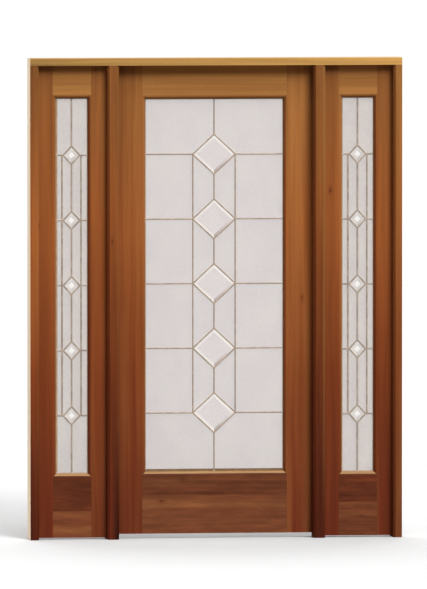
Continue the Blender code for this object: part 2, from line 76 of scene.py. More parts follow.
BOUNDS = np.array([list(corner) for corner in CAD_BOX])
UNIT_WIDTH, _, UNIT_HEIGHT = BOUNDS[1] - BOUNDS[0]
TOUCH = 0.0003
MERGE = 1e-6
ON_BOUND = 1e-4
SHARP = math.radians(30)
EDGE_FACING = 0.25
LAPPED = 0.2
FULL_TURN = 2 * math.pi


class Body(Enum):
    """The two rigid bodies of the unit."""

    FRAME = "frame"
    DOOR = "door"


class Grain(Enum):
    """Which way a board's grain runs."""

    UPRIGHT = "upright"
    LEVEL = "level"


class Cut(Enum):
    """What a side of the frame's timber has: nothing, a sidelight's groove or the door's rebate."""

    PLAIN = "plain"
    GROOVE = "groove"
    REBATE = "rebate"


class Place(Enum):
    """The four sides of a sash."""

    LEFT = "left"
    RIGHT = "right"
    TOP = "top"
    BOTTOM = "bottom"

    @property
    def grain(self) -> Grain:
        """How the grain of a piece on this side runs."""
        return Grain.UPRIGHT if self in (Place.LEFT, Place.RIGHT) else Grain.LEVEL


@dataclass(frozen=True)
class Tone:
    """How one board differs from the stain's mean: lighter or darker, and golden or red.

    The end values are added gradually towards the feet of an upright board, and towards the right
    end of a level one, and the middle values around its middle. The side value is taken off towards
    the right side at the feet. Brown is the share of a brown stain, and the figure how strongly dark
    patches show.
    """

    light: float = 0.0
    gold: float = 0.0
    end_light: float = 0.0
    end_gold: float = 0.0
    middle_light: float = 0.0
    middle_gold: float = 0.0
    side_light: float = 0.0
    brown: float = 0.0
    figure: float = 0.0

    def spread(self, run: Array, aside: Array) -> Array:
        """Light, gold, brown and figure at each place of a board.

        The middle values weigh (4 run (1 - run)) squared, and the side value run to the fourth.

        Args:
            run: 0 to 1 down or along the unit.
            aside: -0.5 to 0.5 across the board.
        Returns:
            Places x 4.
        """
        bulge = (4 * run * (1 - run)) ** 2
        light = self.light + run * self.end_light + bulge * self.middle_light
        light = light - aside * run ** 4 * self.side_light
        gold = self.gold + run * self.end_gold + bulge * self.middle_gold
        return np.stack([light, gold, np.full_like(run, self.brown), np.full_like(run, self.figure)], 1)


@dataclass(frozen=True)
class FrameSizes:
    """Sections of the frame, as the solids have them."""

    chamfer: float = 0.0095
    rebate: float = 0.0127
    recess: float = 0.048
    stop_gap: float = 0.001
    stations: int = 9


@dataclass(frozen=True)
class SashSizes:
    """Section of the moulding, the glass rebate and the glazing bead on every sash."""

    thickness: float = 0.0445
    sticking: float = 0.0138
    quirk: float = 0.0015
    drop: float = 0.0110
    seat: float = 0.0175
    lap: float = 0.008
    play: float = 0.0005
    steps: int = 10
    bead_splay: float = 0.005
    bead_start: float = 0.008
    glue_margin: float = 0.01


@dataclass(frozen=True)
class CameSizes:
    """Section of the brass came, the solder on it and the glass in it."""

    depth: float = 0.0064
    width: float = 0.0056
    heart: float = 0.0016
    border: float = 0.006
    border_heart: float = 0.0015
    glass: float = 0.0034
    crown: float = 0.0007
    solder: float = 0.0044
    solder_sides: int = 16
    bevel_ease: float = 0.0006
    bevel_step: float = 0.0001


@dataclass(frozen=True)
class BeddingSizes:
    """Section of the line of bedding compound: how far it laps under the timber, and its depths."""

    lap: float = 0.0017
    lip: float = 0.0002
    sill_lip: float = 0.0001
    crown: float = 0.0008
    edge: float = 0.0009
    back: float = 0.0013


FRAME = FrameSizes()
SASH = SashSizes()
CAME = CameSizes()
BEDDING = BeddingSizes()

# Painted light and shade on each sash member by the way its faces look: the first value for faces that look
# down or left, the second for those that look up or right; below zero is painted shade, above zero a painted
# highlight.
STICKING_PAINTED_LIGHT_AND_SHADE = {
    "left_stile": (0.0, 0.14),
    "right_stile": (-0.60, 0.0),
    "top_rail": (-0.50, 0.0),
    "bottom_rail": (0.0, 0.50),
}
# Painted light on each bevel of the door's diamonds and the sidelights' jewels, at its side corner and at its
# top or bottom corner: above zero a painted highlight, below zero painted shade.
DIAMOND_PAINTED_GLEAMS = {(-1, -1): (0.9, 1.0), (1, 1): (0.9, 0.8), (-1, 1): (0.45, 0.6), (1, -1): (0.1, -1.0)}
JEWEL_PAINTED_GLEAMS = {(-1, -1): (0.1, -0.3), (1, 1): (-0.4, -0.1), (-1, 1): (-0.1, 0.0), (1, -1): (-0.2, -0.7)}


def extent(node: str) -> Array:
    """Lowest and highest corner of a CAD node."""
    return np.array([list(corner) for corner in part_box(node)])


def sweep(sections: Array, ring: bool = False) -> Shape:
    """A closed profile carried through stations: quads join neighbours, and flat ends close it.

    Args:
        sections: stations x profile points x 3.
        ring: the last station meets the first, so there are no ends.
    Returns:
        The points and the faces.
    """
    index = np.arange(sections.shape[0] * sections.shape[1]).reshape(sections.shape[:2])
    near, far = (index, np.roll(index, -1, 0)) if ring else (index[:-1], index[1:])
    quads = np.stack([near, np.roll(near, -1, 1), np.roll(far, -1, 1), far], -1).reshape(-1, 4)
    ends = [] if ring else [index[0][::-1].tolist(), index[-1].tolist()]
    return sections.reshape(-1, 3), quads.tolist() + ends


def join_parts(parts: Iterable[Shape]) -> Shape:
    """Puts several shapes into one.

    Args:
        parts: pairs of points and faces.
    Returns:
        One pair, with the faces renumbered.
    """
    points, faces, start = [], [], 0
    for part_points, part_faces in parts:
        points.append(part_points)
        faces += [[start + int(i) for i in face] for face in part_faces]
        start += len(part_points)
    return np.concatenate(points), faces


def mesh_object(name: str, shape: Shape, smooth_angle: float = SHARP) -> bpy.types.Object:
    """Makes a closed mesh with merged points, outward faces and sharp edges kept sharp.

    Args:
        name: the piece's name.
        shape: its points and faces.
        smooth_angle: edges that turn by more than this stay sharp.
    Returns:
        The new object, at the origin.
    """
    points, faces = shape
    mesh = bpy.data.meshes.new(name)
    mesh.from_pydata(np.asarray(points, float).tolist(), [], [list(map(int, f)) for f in faces])
    data = bmesh.new()
    data.from_mesh(mesh)
    bmesh.ops.remove_doubles(data, verts=data.verts[:], dist=MERGE)
    bmesh.ops.dissolve_degenerate(data, edges=data.edges[:], dist=MERGE)
    bmesh.ops.recalc_face_normals(data, faces=data.faces[:])
    data.to_mesh(mesh)
    data.free()
    mesh.shade_smooth()
    mesh.set_sharp_from_angle(angle=smooth_angle)
    obj = bpy.data.objects.new(name, mesh)
    bpy.context.scene.collection.objects.link(obj)
    return obj


def box_shape(corners: Array) -> Shape:
    """A box.

    Args:
        corners: its lowest and highest corner.
    Returns:
        The points and the faces.
    """
    (x0, y0, z0), (x1, y1, z1) = corners
    plan = [(x0, y0), (x1, y0), (x1, y1), (x0, y1)]
    return sweep(np.array([[(x, y, z) for x, y in plan] for z in (z0, z1)]))


def cut_pockets(obj: bpy.types.Object, pockets: Iterable[Array]) -> None:
    """Cuts box-shaped pockets into a piece with an applied Boolean.

    Args:
        obj: the piece.
        pockets: the lowest and highest corner of each.
    """
    cutter = mesh_object("pocket_cutter", join_parts(box_shape(pocket) for pocket in pockets))
    cut = obj.modifiers.new("pockets", "BOOLEAN")
    cut.operation = "DIFFERENCE"
    cut.object = cutter
    whole = obj.data
    obj.data = bpy.data.meshes.new_from_object(obj.evaluated_get(bpy.context.evaluated_depsgraph_get()))
    obj.data.name = obj.name
    obj.modifiers.clear()
    bpy.data.objects.remove(cutter)
    bpy.data.meshes.remove(whole)
    obj.data.shade_smooth()
    obj.data.set_sharp_from_angle(angle=SHARP)


def round_arrises(obj: bpy.types.Object, width: float) -> None:
    """Adds a live Bevel that softens every sharp edge.

    Args:
        obj: the piece.
        width: the rounding's width in metres.
    """
    bevel = obj.modifiers.new("soft arrises", "BEVEL")
    bevel.width = width
    bevel.segments = 2
    bevel.limit_method = "ANGLE"
    bevel.angle_limit = SHARP
    bevel.harden_normals = True
    bevel.use_clamp_overlap = True


def corner_values(mesh: bpy.types.Mesh) -> tuple[Array, Array, Array]:
    """Reads every face corner of a mesh.

    Args:
        mesh: the mesh.
    Returns:
        The corners' places, and the centres and normals of their faces, each corners x 3.
    """
    def read(items: bpy.types.bpy_prop_collection, key: str, width: int, kind: type) -> Array:
        """One property of every item, as rows."""
        values = np.empty(len(items) * width, kind)
        items.foreach_get(key, values)
        return values.reshape(-1, width)

    vertex = read(mesh.loops, "vertex_index", 1, np.int32)[:, 0]
    sizes = read(mesh.polygons, "loop_total", 1, np.int32)[:, 0]
    centres, normals = (read(mesh.polygons, key, 3, np.float32) for key in ("center", "normal"))
    place = read(mesh.vertices, "co", 3, np.float32)[vertex]
    return place, np.repeat(centres, sizes, 0), np.repeat(normals, sizes, 0)


def write_corners(mesh: bpy.types.Mesh, name: str, kind: str, key: str, values: Array) -> None:
    """Writes an attribute on the face corners of a mesh."""
    attribute = mesh.attributes.new(name, kind, "CORNER")
    attribute.data.foreach_set(key, values.astype(np.float32).ravel())


def value_noise(x: Array, z: Array, cell: float, seed: int) -> Array:
    """Seeded values on a square lattice of one cell, joined smoothly by cubic easing.

    Args:
        x, z: places in metres.
        cell: the lattice's spacing.
        seed: the seed of its values.
    Returns:
        Values from -1 to 1.
    """
    size = 256
    table = np.random.default_rng(seed).uniform(-1, 1, (size, size))
    column, row = np.floor(x / cell).astype(int), np.floor(z / cell).astype(int)
    across, up = x / cell - column, z / cell - row
    across, up = across * across * (3 - 2 * across), up * up * (3 - 2 * up)
    corner = [[table[(column + i) % size, (row + j) % size] for j in (0, 1)] for i in (0, 1)]
    low = corner[0][0] * (1 - across) + corner[1][0] * across
    high = corner[0][1] * (1 - across) + corner[1][1] * across
    return low * (1 - up) + high * up


def inset_outline(outline: Array, distance: float) -> Array:
    """Moves each edge of a convex, anticlockwise outline inwards and meets its neighbours again.

    Args:
        outline: N x 2 corners.
        distance: how far the edges move.
    Returns:
        N x 2 corners.
    """
    run = np.roll(outline, -1, 0) - outline
    normal = np.stack([-run[:, 1], run[:, 0]], 1) / np.linalg.norm(run, axis=1)[:, None]
    reach = (normal * outline).sum(1) + distance
    before, reach_before = np.roll(normal, 1, 0), np.roll(reach, 1)
    turn = before[:, 0] * normal[:, 1] - normal[:, 0] * before[:, 1]
    x = (reach_before * normal[:, 1] - reach * before[:, 1]) / turn
    z = (before[:, 0] * reach - normal[:, 0] * reach_before) / turn
    return np.stack([x, z], 1)


def settle(obj: bpy.types.Object, body: Body, slot: str, material: Material, *nodes: str) -> None:
    """Gives a piece its material and its body, and hides the CAD nodes that it stands for.

    Args:
        obj: the piece.
        body: the body that carries it.
        slot: not used.
        material: its finish.
        nodes: CAD nodes that it replaces.
    """
    obj.data.materials.clear()
    obj.data.materials.append(material)
    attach(obj, body.value)
    if nodes:
        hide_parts(*nodes)
    LOG.info("%s: %d faces on %s", obj.name, len(obj.data.polygons), body.value)


class Tree:
    """A short way to write shader nodes."""

    def __init__(self, tree: bpy.types.NodeTree) -> None:
        """Wraps a node tree."""
        self.tree = tree

    def put(self, socket: Socket, value: Value) -> None:
        """Links a socket to another one, or sets it to a plain value; a colour gets its alpha.

        Args:
            socket: the input to feed.
            value: a socket or a plain value.
        """
        if isinstance(value, Socket):
            self.tree.links.new(value, socket)
        else:
            socket.default_value = (*value, 1.0) if socket.type == "RGBA" else value

    def add(self, kind: str, inputs: Optional[dict] = None, **settings) -> bpy.types.Node:
        """Adds a node.

        Args:
            kind: the node's type.
            inputs: values or sockets by input name or number.
            settings: the node's own properties.
        Returns:
            The node.
        """
        node = self.tree.nodes.new(kind)
        for key, value in settings.items():
            setattr(node, key, value)
        for key, value in (inputs or {}).items():
            self.put(node.inputs[key], value)
        return node

    def math(self, operation: str, *values: Value, clamp: bool = False) -> Socket:
        """One arithmetic step on up to three values."""
        node = self.add("ShaderNodeMath", dict(enumerate(values)), operation=operation, use_clamp=clamp)
        return node.outputs[0]

    def remap(
        self, value: Value, low: float, high: float, to_low: float = 0.0, to_high: float = 1.0
    ) -> Socket:
        """Maps low..high to to_low..to_high with a smooth step, and clamps it."""
        inputs = {0: value, 1: low, 2: high, 3: to_low, 4: to_high}
        return self.add("ShaderNodeMapRange", inputs, interpolation_type="SMOOTHSTEP").outputs[0]

    def vector(self, x: Value, y: Value, z: Value) -> Socket:
        """Joins three values into a vector."""
        return self.add("ShaderNodeCombineXYZ", {0: x, 1: y, 2: z}).outputs[0]

    def split(self, vector: Value) -> list[Socket]:
        """Parts a vector into its three values."""
        return list(self.add("ShaderNodeSeparateXYZ", {0: vector}).outputs)

    def place(self) -> Socket:
        """The piece's own coordinates in metres."""
        return self.add("ShaderNodeTexCoord").outputs["Object"]

    def noise(self, vector: Value, detail: float = 2.0, roughness: float = 0.5, scale: Value = 1.0) -> Socket:
        """Noise from 0 to 1 at a vector."""
        inputs = {"Vector": vector, "Scale": scale, "Detail": detail, "Roughness": roughness}
        return self.add("ShaderNodeTexNoise", inputs).outputs["Fac"]

    def mix(self, factor: Value, first: Value, second: Value) -> Socket:
        """Mixes two colours."""
        return self.add("ShaderNodeMix", {0: factor, 6: first, 7: second}, data_type="RGBA").outputs[2]

    def blend(self, factor: Value, first: Value, second: Value) -> Socket:
        """Mixes two values."""
        return self.add("ShaderNodeMix", {0: factor, 2: first, 3: second}).outputs[0]

    def attribute(self, name: str) -> bpy.types.Node:
        """Reads one of the mesh's attributes."""
        return self.add("ShaderNodeAttribute", attribute_name=name)

    def group(self, group: bpy.types.NodeTree, inputs: dict) -> bpy.types.Node:
        """Places a node group.

        Args:
            group: the group.
            inputs: values or sockets by input name.
        Returns:
            The group's node.
        """
        node = self.add("ShaderNodeGroup", node_tree=group)
        for key, value in inputs.items():
            self.put(node.inputs[key], value)
        return node

    def bump(self, shader: bpy.types.Node, strength: float, distance: float, height: Socket) -> None:
        """Feeds a Bump node's normal to a shader."""
        inputs = {"Strength": strength, "Distance": distance, "Height": height}
        self.put(shader.inputs["Normal"], self.add("ShaderNodeBump", inputs).outputs[0])


def new_group(name: str, inputs: dict, outputs: Iterable[str]) -> tuple[Tree, dict, bpy.types.Node]:
    """Starts a shader node group.

    Args:
        name: the group's name.
        inputs: socket name to its default, or to None for a vector.
        outputs: names of the float outputs.
    Returns:
        The wrapped tree, its input sockets by name, and its output node.
    """
    group = bpy.data.node_groups.new(name, "ShaderNodeTree")
    for socket, default in inputs.items():
        kind = "NodeSocketVector" if default is None else "NodeSocketFloat"
        made = group.interface.new_socket(socket, in_out="INPUT", socket_type=kind)
        if default is not None:
            made.default_value = default
    for socket in outputs:
        group.interface.new_socket(socket, in_out="OUTPUT", socket_type="NodeSocketFloat")
    tree = Tree(group)
    entry = tree.add("NodeGroupInput")
    leave = tree.add("NodeGroupOutput")
    return tree, {socket: entry.outputs[socket] for socket in inputs}, leave


def board_grain_group() -> bpy.types.NodeTree:
    """Grain of a board: broad streaks, growth lines, fibres and pores, all drawn out along it.

    The Grain vector is (across, along, through) the board in metres. Each pattern is noise whose
    coordinates are divided by its width across and its length along.
    """
    inputs = {"Grain": None, "Streak Width": 0.014, "Streak Length": 0.7, "Line Spacing": 0.007, "Sway": 0.03}
    outputs = ("Zones", "Streaks", "Lines", "Fibres", "Pores", "Patches", "Height")
    tree, given, leave = new_group("board grain", inputs, outputs)
    across, along, through = tree.split(given["Grain"])
    scales = ((across, 4.0), (along, 1.6), (through, 4.0))
    scaled = [tree.math("MULTIPLY", part, scale) for part, scale in scales]
    sway = tree.math("SUBTRACT", tree.noise(tree.vector(*scaled), 1.0), 0.5)
    swayed = tree.math("MULTIPLY_ADD", sway, given["Sway"], across)

    def drawn_out(width: Value, length: Value, detail: float, roughness: float) -> Socket:
        """Noise of one width across the board and one length along it."""
        sizes = ((swayed, width), (along, length), (through, width))
        shares = [tree.math("DIVIDE", part, size) for part, size in sizes]
        return tree.noise(tree.vector(*shares), detail, roughness)

    zones = drawn_out(0.042, 1.3, 1.0, 0.5)
    patches = tree.remap(drawn_out(0.024, 0.15, 4.0, 0.65), 0.36, 0.66)
    streaks = drawn_out(given["Streak Width"], given["Streak Length"], 4.0, 0.55)
    turn = tree.math("DIVIDE", tree.math("MULTIPLY_ADD", streaks, 0.006, swayed), given["Line Spacing"])
    lines = tree.math("MULTIPLY_ADD", tree.math("SINE", tree.math("MULTIPLY", turn, FULL_TURN)), 0.5, 0.5)
    fibres = drawn_out(0.0011, 0.06, 3.0, 0.6)
    pores = tree.remap(drawn_out(0.0007, 0.011, 1.0, 0.5), 0.62, 0.72)
    height = tree.math("SUBTRACT", tree.math("MULTIPLY", fibres, 0.4), pores)
    for socket, value in zip(outputs, (zones, streaks, lines, fibres, pores, patches, height)):
        tree.put(leave.inputs[socket], value)
    return tree.tree


def knot_group() -> bpy.types.NodeTree:
    """A small knot: an ellipse in the XZ plane, dark in its middle, with a softer halo around it."""
    inputs = {"Position": None, "Centre": None, "Size": None}
    tree, given, leave = new_group("small knot", inputs, ("Eye", "Halo"))
    places = {0: given["Position"], 1: given["Centre"]}
    offset = tree.add("ShaderNodeVectorMath", places, operation="SUBTRACT")
    scaled = tree.add("ShaderNodeVectorMath", {0: offset.outputs[0], 1: given["Size"]}, operation="DIVIDE")
    x, _, z = tree.split(scaled.outputs[0])
    distance = tree.math("SQRT", tree.math("ADD", tree.math("POWER", x, 2.0), tree.math("POWER", z, 2.0)))
    tree.put(leave.inputs["Eye"], tree.remap(distance, 0.35, 1.0, 1.0, 0.0))
    tree.put(leave.inputs["Halo"], tree.remap(distance, 0.6, 3.0, 1.0, 0.0))
    return tree.tree


def patina_group() -> bpy.types.NodeTree:
    """Blotches and fine specks of age on metal or glass, at two sizes in metres."""
    inputs = {"Position": None, "Blotch": 0.03, "Speck": 0.002}
    tree, given, leave = new_group("patina", inputs, ("Blotches", "Specks"))
    for socket, size, detail in (("Blotches", given["Blotch"], 3.0), ("Specks", given["Speck"], 2.0)):
        noise = tree.noise(given["Position"], detail, 0.5, tree.math("DIVIDE", 1.0, size))
        tree.put(leave.inputs[socket], tree.remap(noise, 0.35, 0.65))
    return tree.tree


def new_material(name: str) -> tuple[Material, Tree, bpy.types.Node]:
    """A node material.

    Args:
        name: the material's name.
    Returns:
        The material, its wrapped tree and its Principled shader.
    """
    material = bpy.data.materials.new(name)
    material.use_nodes = True
    return material, Tree(material.node_tree), material.node_tree.nodes["Principled BSDF"]


@dataclass(frozen=True)
class Knot:
    """A small knot or dark fleck, at a place on the front of the unit."""

    x: float
    z: float
    wide: float
    tall: float
    strength: float


KNOTS = (
    Knot(-0.766, -0.721, 0.004, 0.010, 0.7),
    Knot(-0.453, -0.790, 0.004, 0.012, 0.8),
    Knot(0.5005, -0.575, 0.006, 0.010, 0.8),
    Knot(0.381, -1.040, 0.005, 0.012, 0.6),
    Knot(-0.231, -1.915, 0.012, 0.005, 0.9),
    Knot(-0.139, -1.820, 0.011, 0.008, 0.6),
    Knot(0.640, -1.846, 0.012, 0.006, 0.9),
    Knot(0.640, -1.984, 0.010, 0.004, 0.7),
    Knot(-0.640, -1.860, 0.035, 0.003, 0.7),
    Knot(-0.655, -1.900, 0.040, 0.003, 0.6),
)


@dataclass(frozen=True)
class WoodFinish:
    """Translucent stain that deepens from golden at the head to red-brown at the feet; the darkening towards
    the feet is partly the stain and partly painted shade.
    """

    name: str
    top: Colour = (0.252, 0.092, 0.023)
    upper: Colour = (0.261, 0.0745, 0.0167)
    lower: Colour = (0.168, 0.035, 0.008)
    foot: Colour = (0.124, 0.021, 0.0065)
    # dark: the colour of pores, knots and redder tones, and also of painted shade on faces turned from the
    # light.
    dark: Colour = (0.07, 0.010, 0.004)
    gold: Colour = (0.52, 0.305, 0.088)
    # pale: the colour of the painted highlight on faces turned to the light.
    pale: Colour = (0.46, 0.26, 0.085)
    brown: Colour = (0.150, 0.058, 0.024)
    raw: Colour = (0.78, 0.66, 0.50)
    raw_dark: Colour = (0.68, 0.55, 0.39)
    stops: tuple[float, ...] = (0.04, 0.34, 0.66, 0.97)
    wander: float = 0.16
    zone_gold: float = 0.25
    pore_share: float = 0.35
    roughness: float = 0.38
    specular: float = 0.12
    coat: float = 0.05
    coat_roughness: float = 0.25
    contrast: float = 0.42
    highest: float = 0.0
    lowest: float = -2.07

    def depth_of_stain(self, tree: Tree, place: Socket, wander: Socket) -> Socket:
        """The stain's colour by height, with a slow wander; its darkening towards the feet is partly the
        stain and partly painted shade.

        Args:
            tree: the material's tree.
            place: the piece's coordinates.
            wander: slow noise.
        Returns:
            The colour.
        """
        height = tree.split(place)[2]
        level = tree.math("DIVIDE", tree.math("SUBTRACT", height, self.lowest), self.highest - self.lowest)
        level = tree.math("MULTIPLY_ADD", tree.math("SUBTRACT", wander, 0.5), self.wander, level)
        ramp = tree.add("ShaderNodeValToRGB", {0: level})
        stops = ramp.color_ramp.elements
        while len(stops) < len(self.stops):
            stops.new(0.5)
        for stop, at, colour in zip(stops, self.stops, (self.foot, self.lower, self.upper, self.top)):
            stop.position = at
            stop.color = (*colour, 1.0)
        return ramp.outputs[0]

    def with_knots(self, tree: Tree, place: Socket, knot: bpy.types.NodeTree, colour: Socket) -> Socket:
        """Darkens the colour at every knot.

        Args:
            tree: the material's tree.
            place: the piece's coordinates.
            knot: the small knot group.
            colour: the colour so far.
        Returns:
            The new colour.
        """
        for mark in KNOTS:
            spot = tree.group(knot, {
                "Position": place, "Centre": (mark.x, 0.0, mark.z), "Size": (mark.wide, 1.0, mark.tall)
            })
            eye = tree.math("MULTIPLY", spot.outputs["Eye"], 0.6 * mark.strength)
            dark = tree.math("MULTIPLY_ADD", spot.outputs["Halo"], 0.35 * mark.strength, eye, clamp=True)
            colour = tree.mix(dark, colour, self.dark)
        return colour

    def build(self, grain: bpy.types.NodeTree, knot: bpy.types.NodeTree) -> Material:
        """Makes the material.

        Args:
            grain: the board grain group.
            knot: the small knot group.
        Returns:
            The material.
        """
        material, tree, shader = new_material(self.name)
        place = tree.place()
        wander = tree.noise(place, 2.0, 0.5, 2.2)
        stain = self.depth_of_stain(tree, place, wander)
        tone = tree.attribute("tone")
        light, gold, brown = tree.split(tone.outputs["Vector"])
        edge = tree.attribute("edge").outputs["Fac"]
        waves = tree.group(grain, {"Grain": tree.attribute("grain").outputs["Vector"]})
        zones, streaks, lines, fibres, pores, patches, relief = waves.outputs
        gold = tree.math("MULTIPLY_ADD", tree.math("SUBTRACT", zones, 0.5), self.zone_gold, gold)

        colour = tree.mix(brown, stain, self.brown)
        colour = tree.mix(tree.math("MAXIMUM", gold, 0.0), colour, self.gold)
        colour = tree.mix(tree.math("MAXIMUM", tree.math("MULTIPLY", gold, -1.0), 0.0), colour, self.dark)
        swing = tree.math("ADD", light, 1.0)
        for pattern, share in ((zones, 1.0), (streaks, 1.6), (lines, 0.12), (fibres, 0.5)):
            wave = tree.math("SUBTRACT", pattern, 0.5)
            swing = tree.math("MULTIPLY_ADD", wave, self.contrast * share, swing)
        spots = tree.math("MULTIPLY", tree.math("SUBTRACT", patches, 0.5), tone.outputs["Alpha"])
        lifted = tree.math("MULTIPLY", swing, tree.math("ADD", spots, 1.0))
        colour = tree.add("ShaderNodeVectorMath", {0: colour, 3: lifted}, operation="SCALE").outputs[0]
        colour = tree.mix(tree.math("MULTIPLY", pores, self.pore_share), colour, self.dark)
        # Painted light and shade by facing: the edge attribute pales faces turned to the light (painted
        # highlight) and darkens those turned from it (painted shade).
        painted_edge_light = tree.math("MULTIPLY", edge, tree.math("MULTIPLY_ADD", wander, 0.6, 0.7), clamp=True)
        colour = tree.mix(painted_edge_light, colour, self.pale)
        colour = tree.mix(tree.math("MULTIPLY", edge, -1.0, clamp=True), colour, self.dark)
        colour = self.with_knots(tree, place, knot, colour)
        unstained = tree.mix(tree.remap(streaks, 0.3, 0.7), self.raw, self.raw_dark)
        colour = tree.mix(tree.attribute("bare").outputs["Fac"], colour, unstained)
        tree.put(shader.inputs["Base Color"], colour)
        tree.put(shader.inputs["Roughness"], tree.math("MULTIPLY_ADD", fibres, 0.12, self.roughness - 0.06))
        tree.put(shader.inputs["Coat Weight"], tree.math("MULTIPLY_ADD", wander, 0.15, self.coat - 0.07))
        shader.inputs["Coat Roughness"].default_value = self.coat_roughness
        shader.inputs["Specular IOR Level"].default_value = self.specular
        tree.bump(shader, 0.30, 0.0004, relief)
        return material


@dataclass(frozen=True)
class GlassFinish:
    """Glass: how much goes through it, how rough it is, the grain pressed into its face, and on bevelled
    glass a painted highlight and painted shade on its facets.
    """

    name: str
    tint: Colour
    shade: Colour
    roughness: float = 0.50
    transmission: float = 0.85
    grain: float = 0.0022
    relief: float = 0.55
    bright: Optional[Colour] = None
    dim: Optional[Colour] = None
    blotch: float = 0.07
    speck: float = 0.0065
    ior: float = 1.5

    def build(self, patina: bpy.types.NodeTree) -> Material:
        """Makes the material.

        Args:
            patina: the blotches and specks group.
        Returns:
            The material.
        """
        material, tree, shader = new_material(self.name)
        place = tree.place()
        x, y, z = tree.split(place)
        drawn = tree.vector(x, y, tree.math("MULTIPLY", z, 0.7))
        marks = tree.group(patina, {"Position": drawn, "Blotch": self.blotch, "Speck": self.speck})
        specks = tree.math("MULTIPLY", marks.outputs["Specks"], 0.65)
        mottle = tree.math("MULTIPLY_ADD", marks.outputs["Blotches"], 0.35, specks)
        colour = tree.mix(mottle, self.tint, self.shade)
        # Painted highlight and painted shade on the bevels, read from the facets' attribute.
        if self.bright:
            gleam = tree.attribute("gleam").outputs["Fac"]
            colour = tree.mix(tree.math("MAXIMUM", gleam, 0.0), colour, self.bright)
            colour = tree.mix(tree.math("MULTIPLY", gleam, -1.0, clamp=True), colour, self.dim)
        tree.put(shader.inputs["Base Color"], colour)
        shader.inputs["Transmission Weight"].default_value = self.transmission
        shader.inputs["IOR"].default_value = self.ior
        shader.inputs["Metallic"].default_value = 0.0
        fine = tree.noise(place, 2.0, 0.6, 1.0 / self.grain)
        rough = tree.math("MULTIPLY_ADD", fine, 0.10, self.roughness - 0.05, clamp=True)
        tree.put(shader.inputs["Roughness"], rough)
        if self.relief:
            tree.bump(shader, self.relief, 0.0006, fine)
        return material


@dataclass(frozen=True)
class FilmFinish:
    """Metal, or matt compound, under a duller film in blotches and fine specks."""

    name: str
    clean: Colour
    film: Colour
    roughness: float
    film_roughness: float
    blotch: float = 0.03
    speck: float = 0.0015
    blotch_share: float = 0.65
    metallic: float = 1.0
    relief: float = 0.15
    relief_depth: float = 0.0003

    def build(self, patina: bpy.types.NodeTree) -> Material:
        """Makes the material.

        Args:
            patina: the blotches and specks group.
        Returns:
            The material.
        """
        material, tree, shader = new_material(self.name)
        marks = tree.group(patina, {"Position": tree.place(), "Blotch": self.blotch, "Speck": self.speck})
        specks = tree.math("MULTIPLY", marks.outputs["Specks"], 0.3)
        aged = tree.math("MULTIPLY_ADD", marks.outputs["Blotches"], self.blotch_share, specks, clamp=True)
        tree.put(shader.inputs["Base Color"], tree.mix(aged, self.clean, self.film))
        shader.inputs["Metallic"].default_value = self.metallic
        rough = tree.math("MULTIPLY_ADD", aged, self.film_roughness - self.roughness, self.roughness)
        tree.put(shader.inputs["Roughness"], rough)
        tree.bump(shader, self.relief, self.relief_depth, marks.outputs["Specks"])
        return material


def compound(name: str, clean: Colour, soiled: Colour) -> FilmFinish:
    """Bedding compound, a little soiled."""
    return FilmFinish(name, clean, soiled, 0.7, 0.7, 0.02, 0.002, 0.6, 0.0, 0.2, 0.0002)


class Finishes:
    """Every material of the unit, built once from the shared groups."""

    def __init__(self) -> None:
        """Builds the groups and the materials."""
        patina = patina_group()
        self.wood = WoodFinish("stained timber").build(board_grain_group(), knot_group())
        self.obscure = GlassFinish(
            "obscure glass", (0.690, 0.652, 0.628), (0.620, 0.580, 0.588)
        ).build(patina)
        self.side_obscure = GlassFinish(
            "sidelight obscure glass", (0.665, 0.625, 0.590), (0.585, 0.540, 0.530)
        ).build(patina)
        # The last two colours are the painted highlight and the painted shade on the bevels.
        self.bevelled = GlassFinish(
            "bevelled glass", (0.71, 0.655, 0.64), (0.655, 0.605, 0.595), 0.06, 1.0, 0.01, 0.0,
            (1.0, 0.98, 0.90), (0.24, 0.18, 0.14)
        ).build(patina)
        # The last two colours are the painted highlight and the painted shade on the jewels' facets.
        self.jewel = GlassFinish(
            "jewel glass", (0.74, 0.69, 0.66), (0.66, 0.62, 0.59), 0.04, 1.0, 0.01, 0.0,
            (1.0, 1.0, 0.99), (0.28, 0.24, 0.22)
        ).build(patina)
        self.came = FilmFinish(
            "antique brass came", (0.56, 0.45, 0.345), (0.39, 0.32, 0.25), 0.66, 0.78
        ).build(patina)
        self.side_came = FilmFinish(
            "dull brass came", (0.56, 0.475, 0.40), (0.38, 0.325, 0.275), 0.66, 0.78
        ).build(patina)
        self.solder = FilmFinish(
            "toned solder", (0.58, 0.46, 0.34), (0.38, 0.30, 0.23), 0.48, 0.62, 0.01
        ).build(patina)
        self.compound = compound("bedding compound", (0.40, 0.265, 0.15), (0.28, 0.17, 0.085)).build(patina)
        # The door's sill line of compound: real compound, darkened to stand in for the shade at the foot of
        # the glass (painted shade).
        self.stained_compound = compound(
            "stained bedding compound", (0.18, 0.105, 0.045), (0.12, 0.065, 0.026)
        ).build(patina)
        self.brass = FilmFinish(
            "aged brass", (0.62, 0.42, 0.17), (0.30, 0.19, 0.08), 0.26, 0.48, 0.02
        ).build(patina)
        self.steel = FilmFinish(
            "brass-plated screw", (0.58, 0.42, 0.20), (0.22, 0.15, 0.08), 0.30, 0.5, 0.006
        ).build(patina)


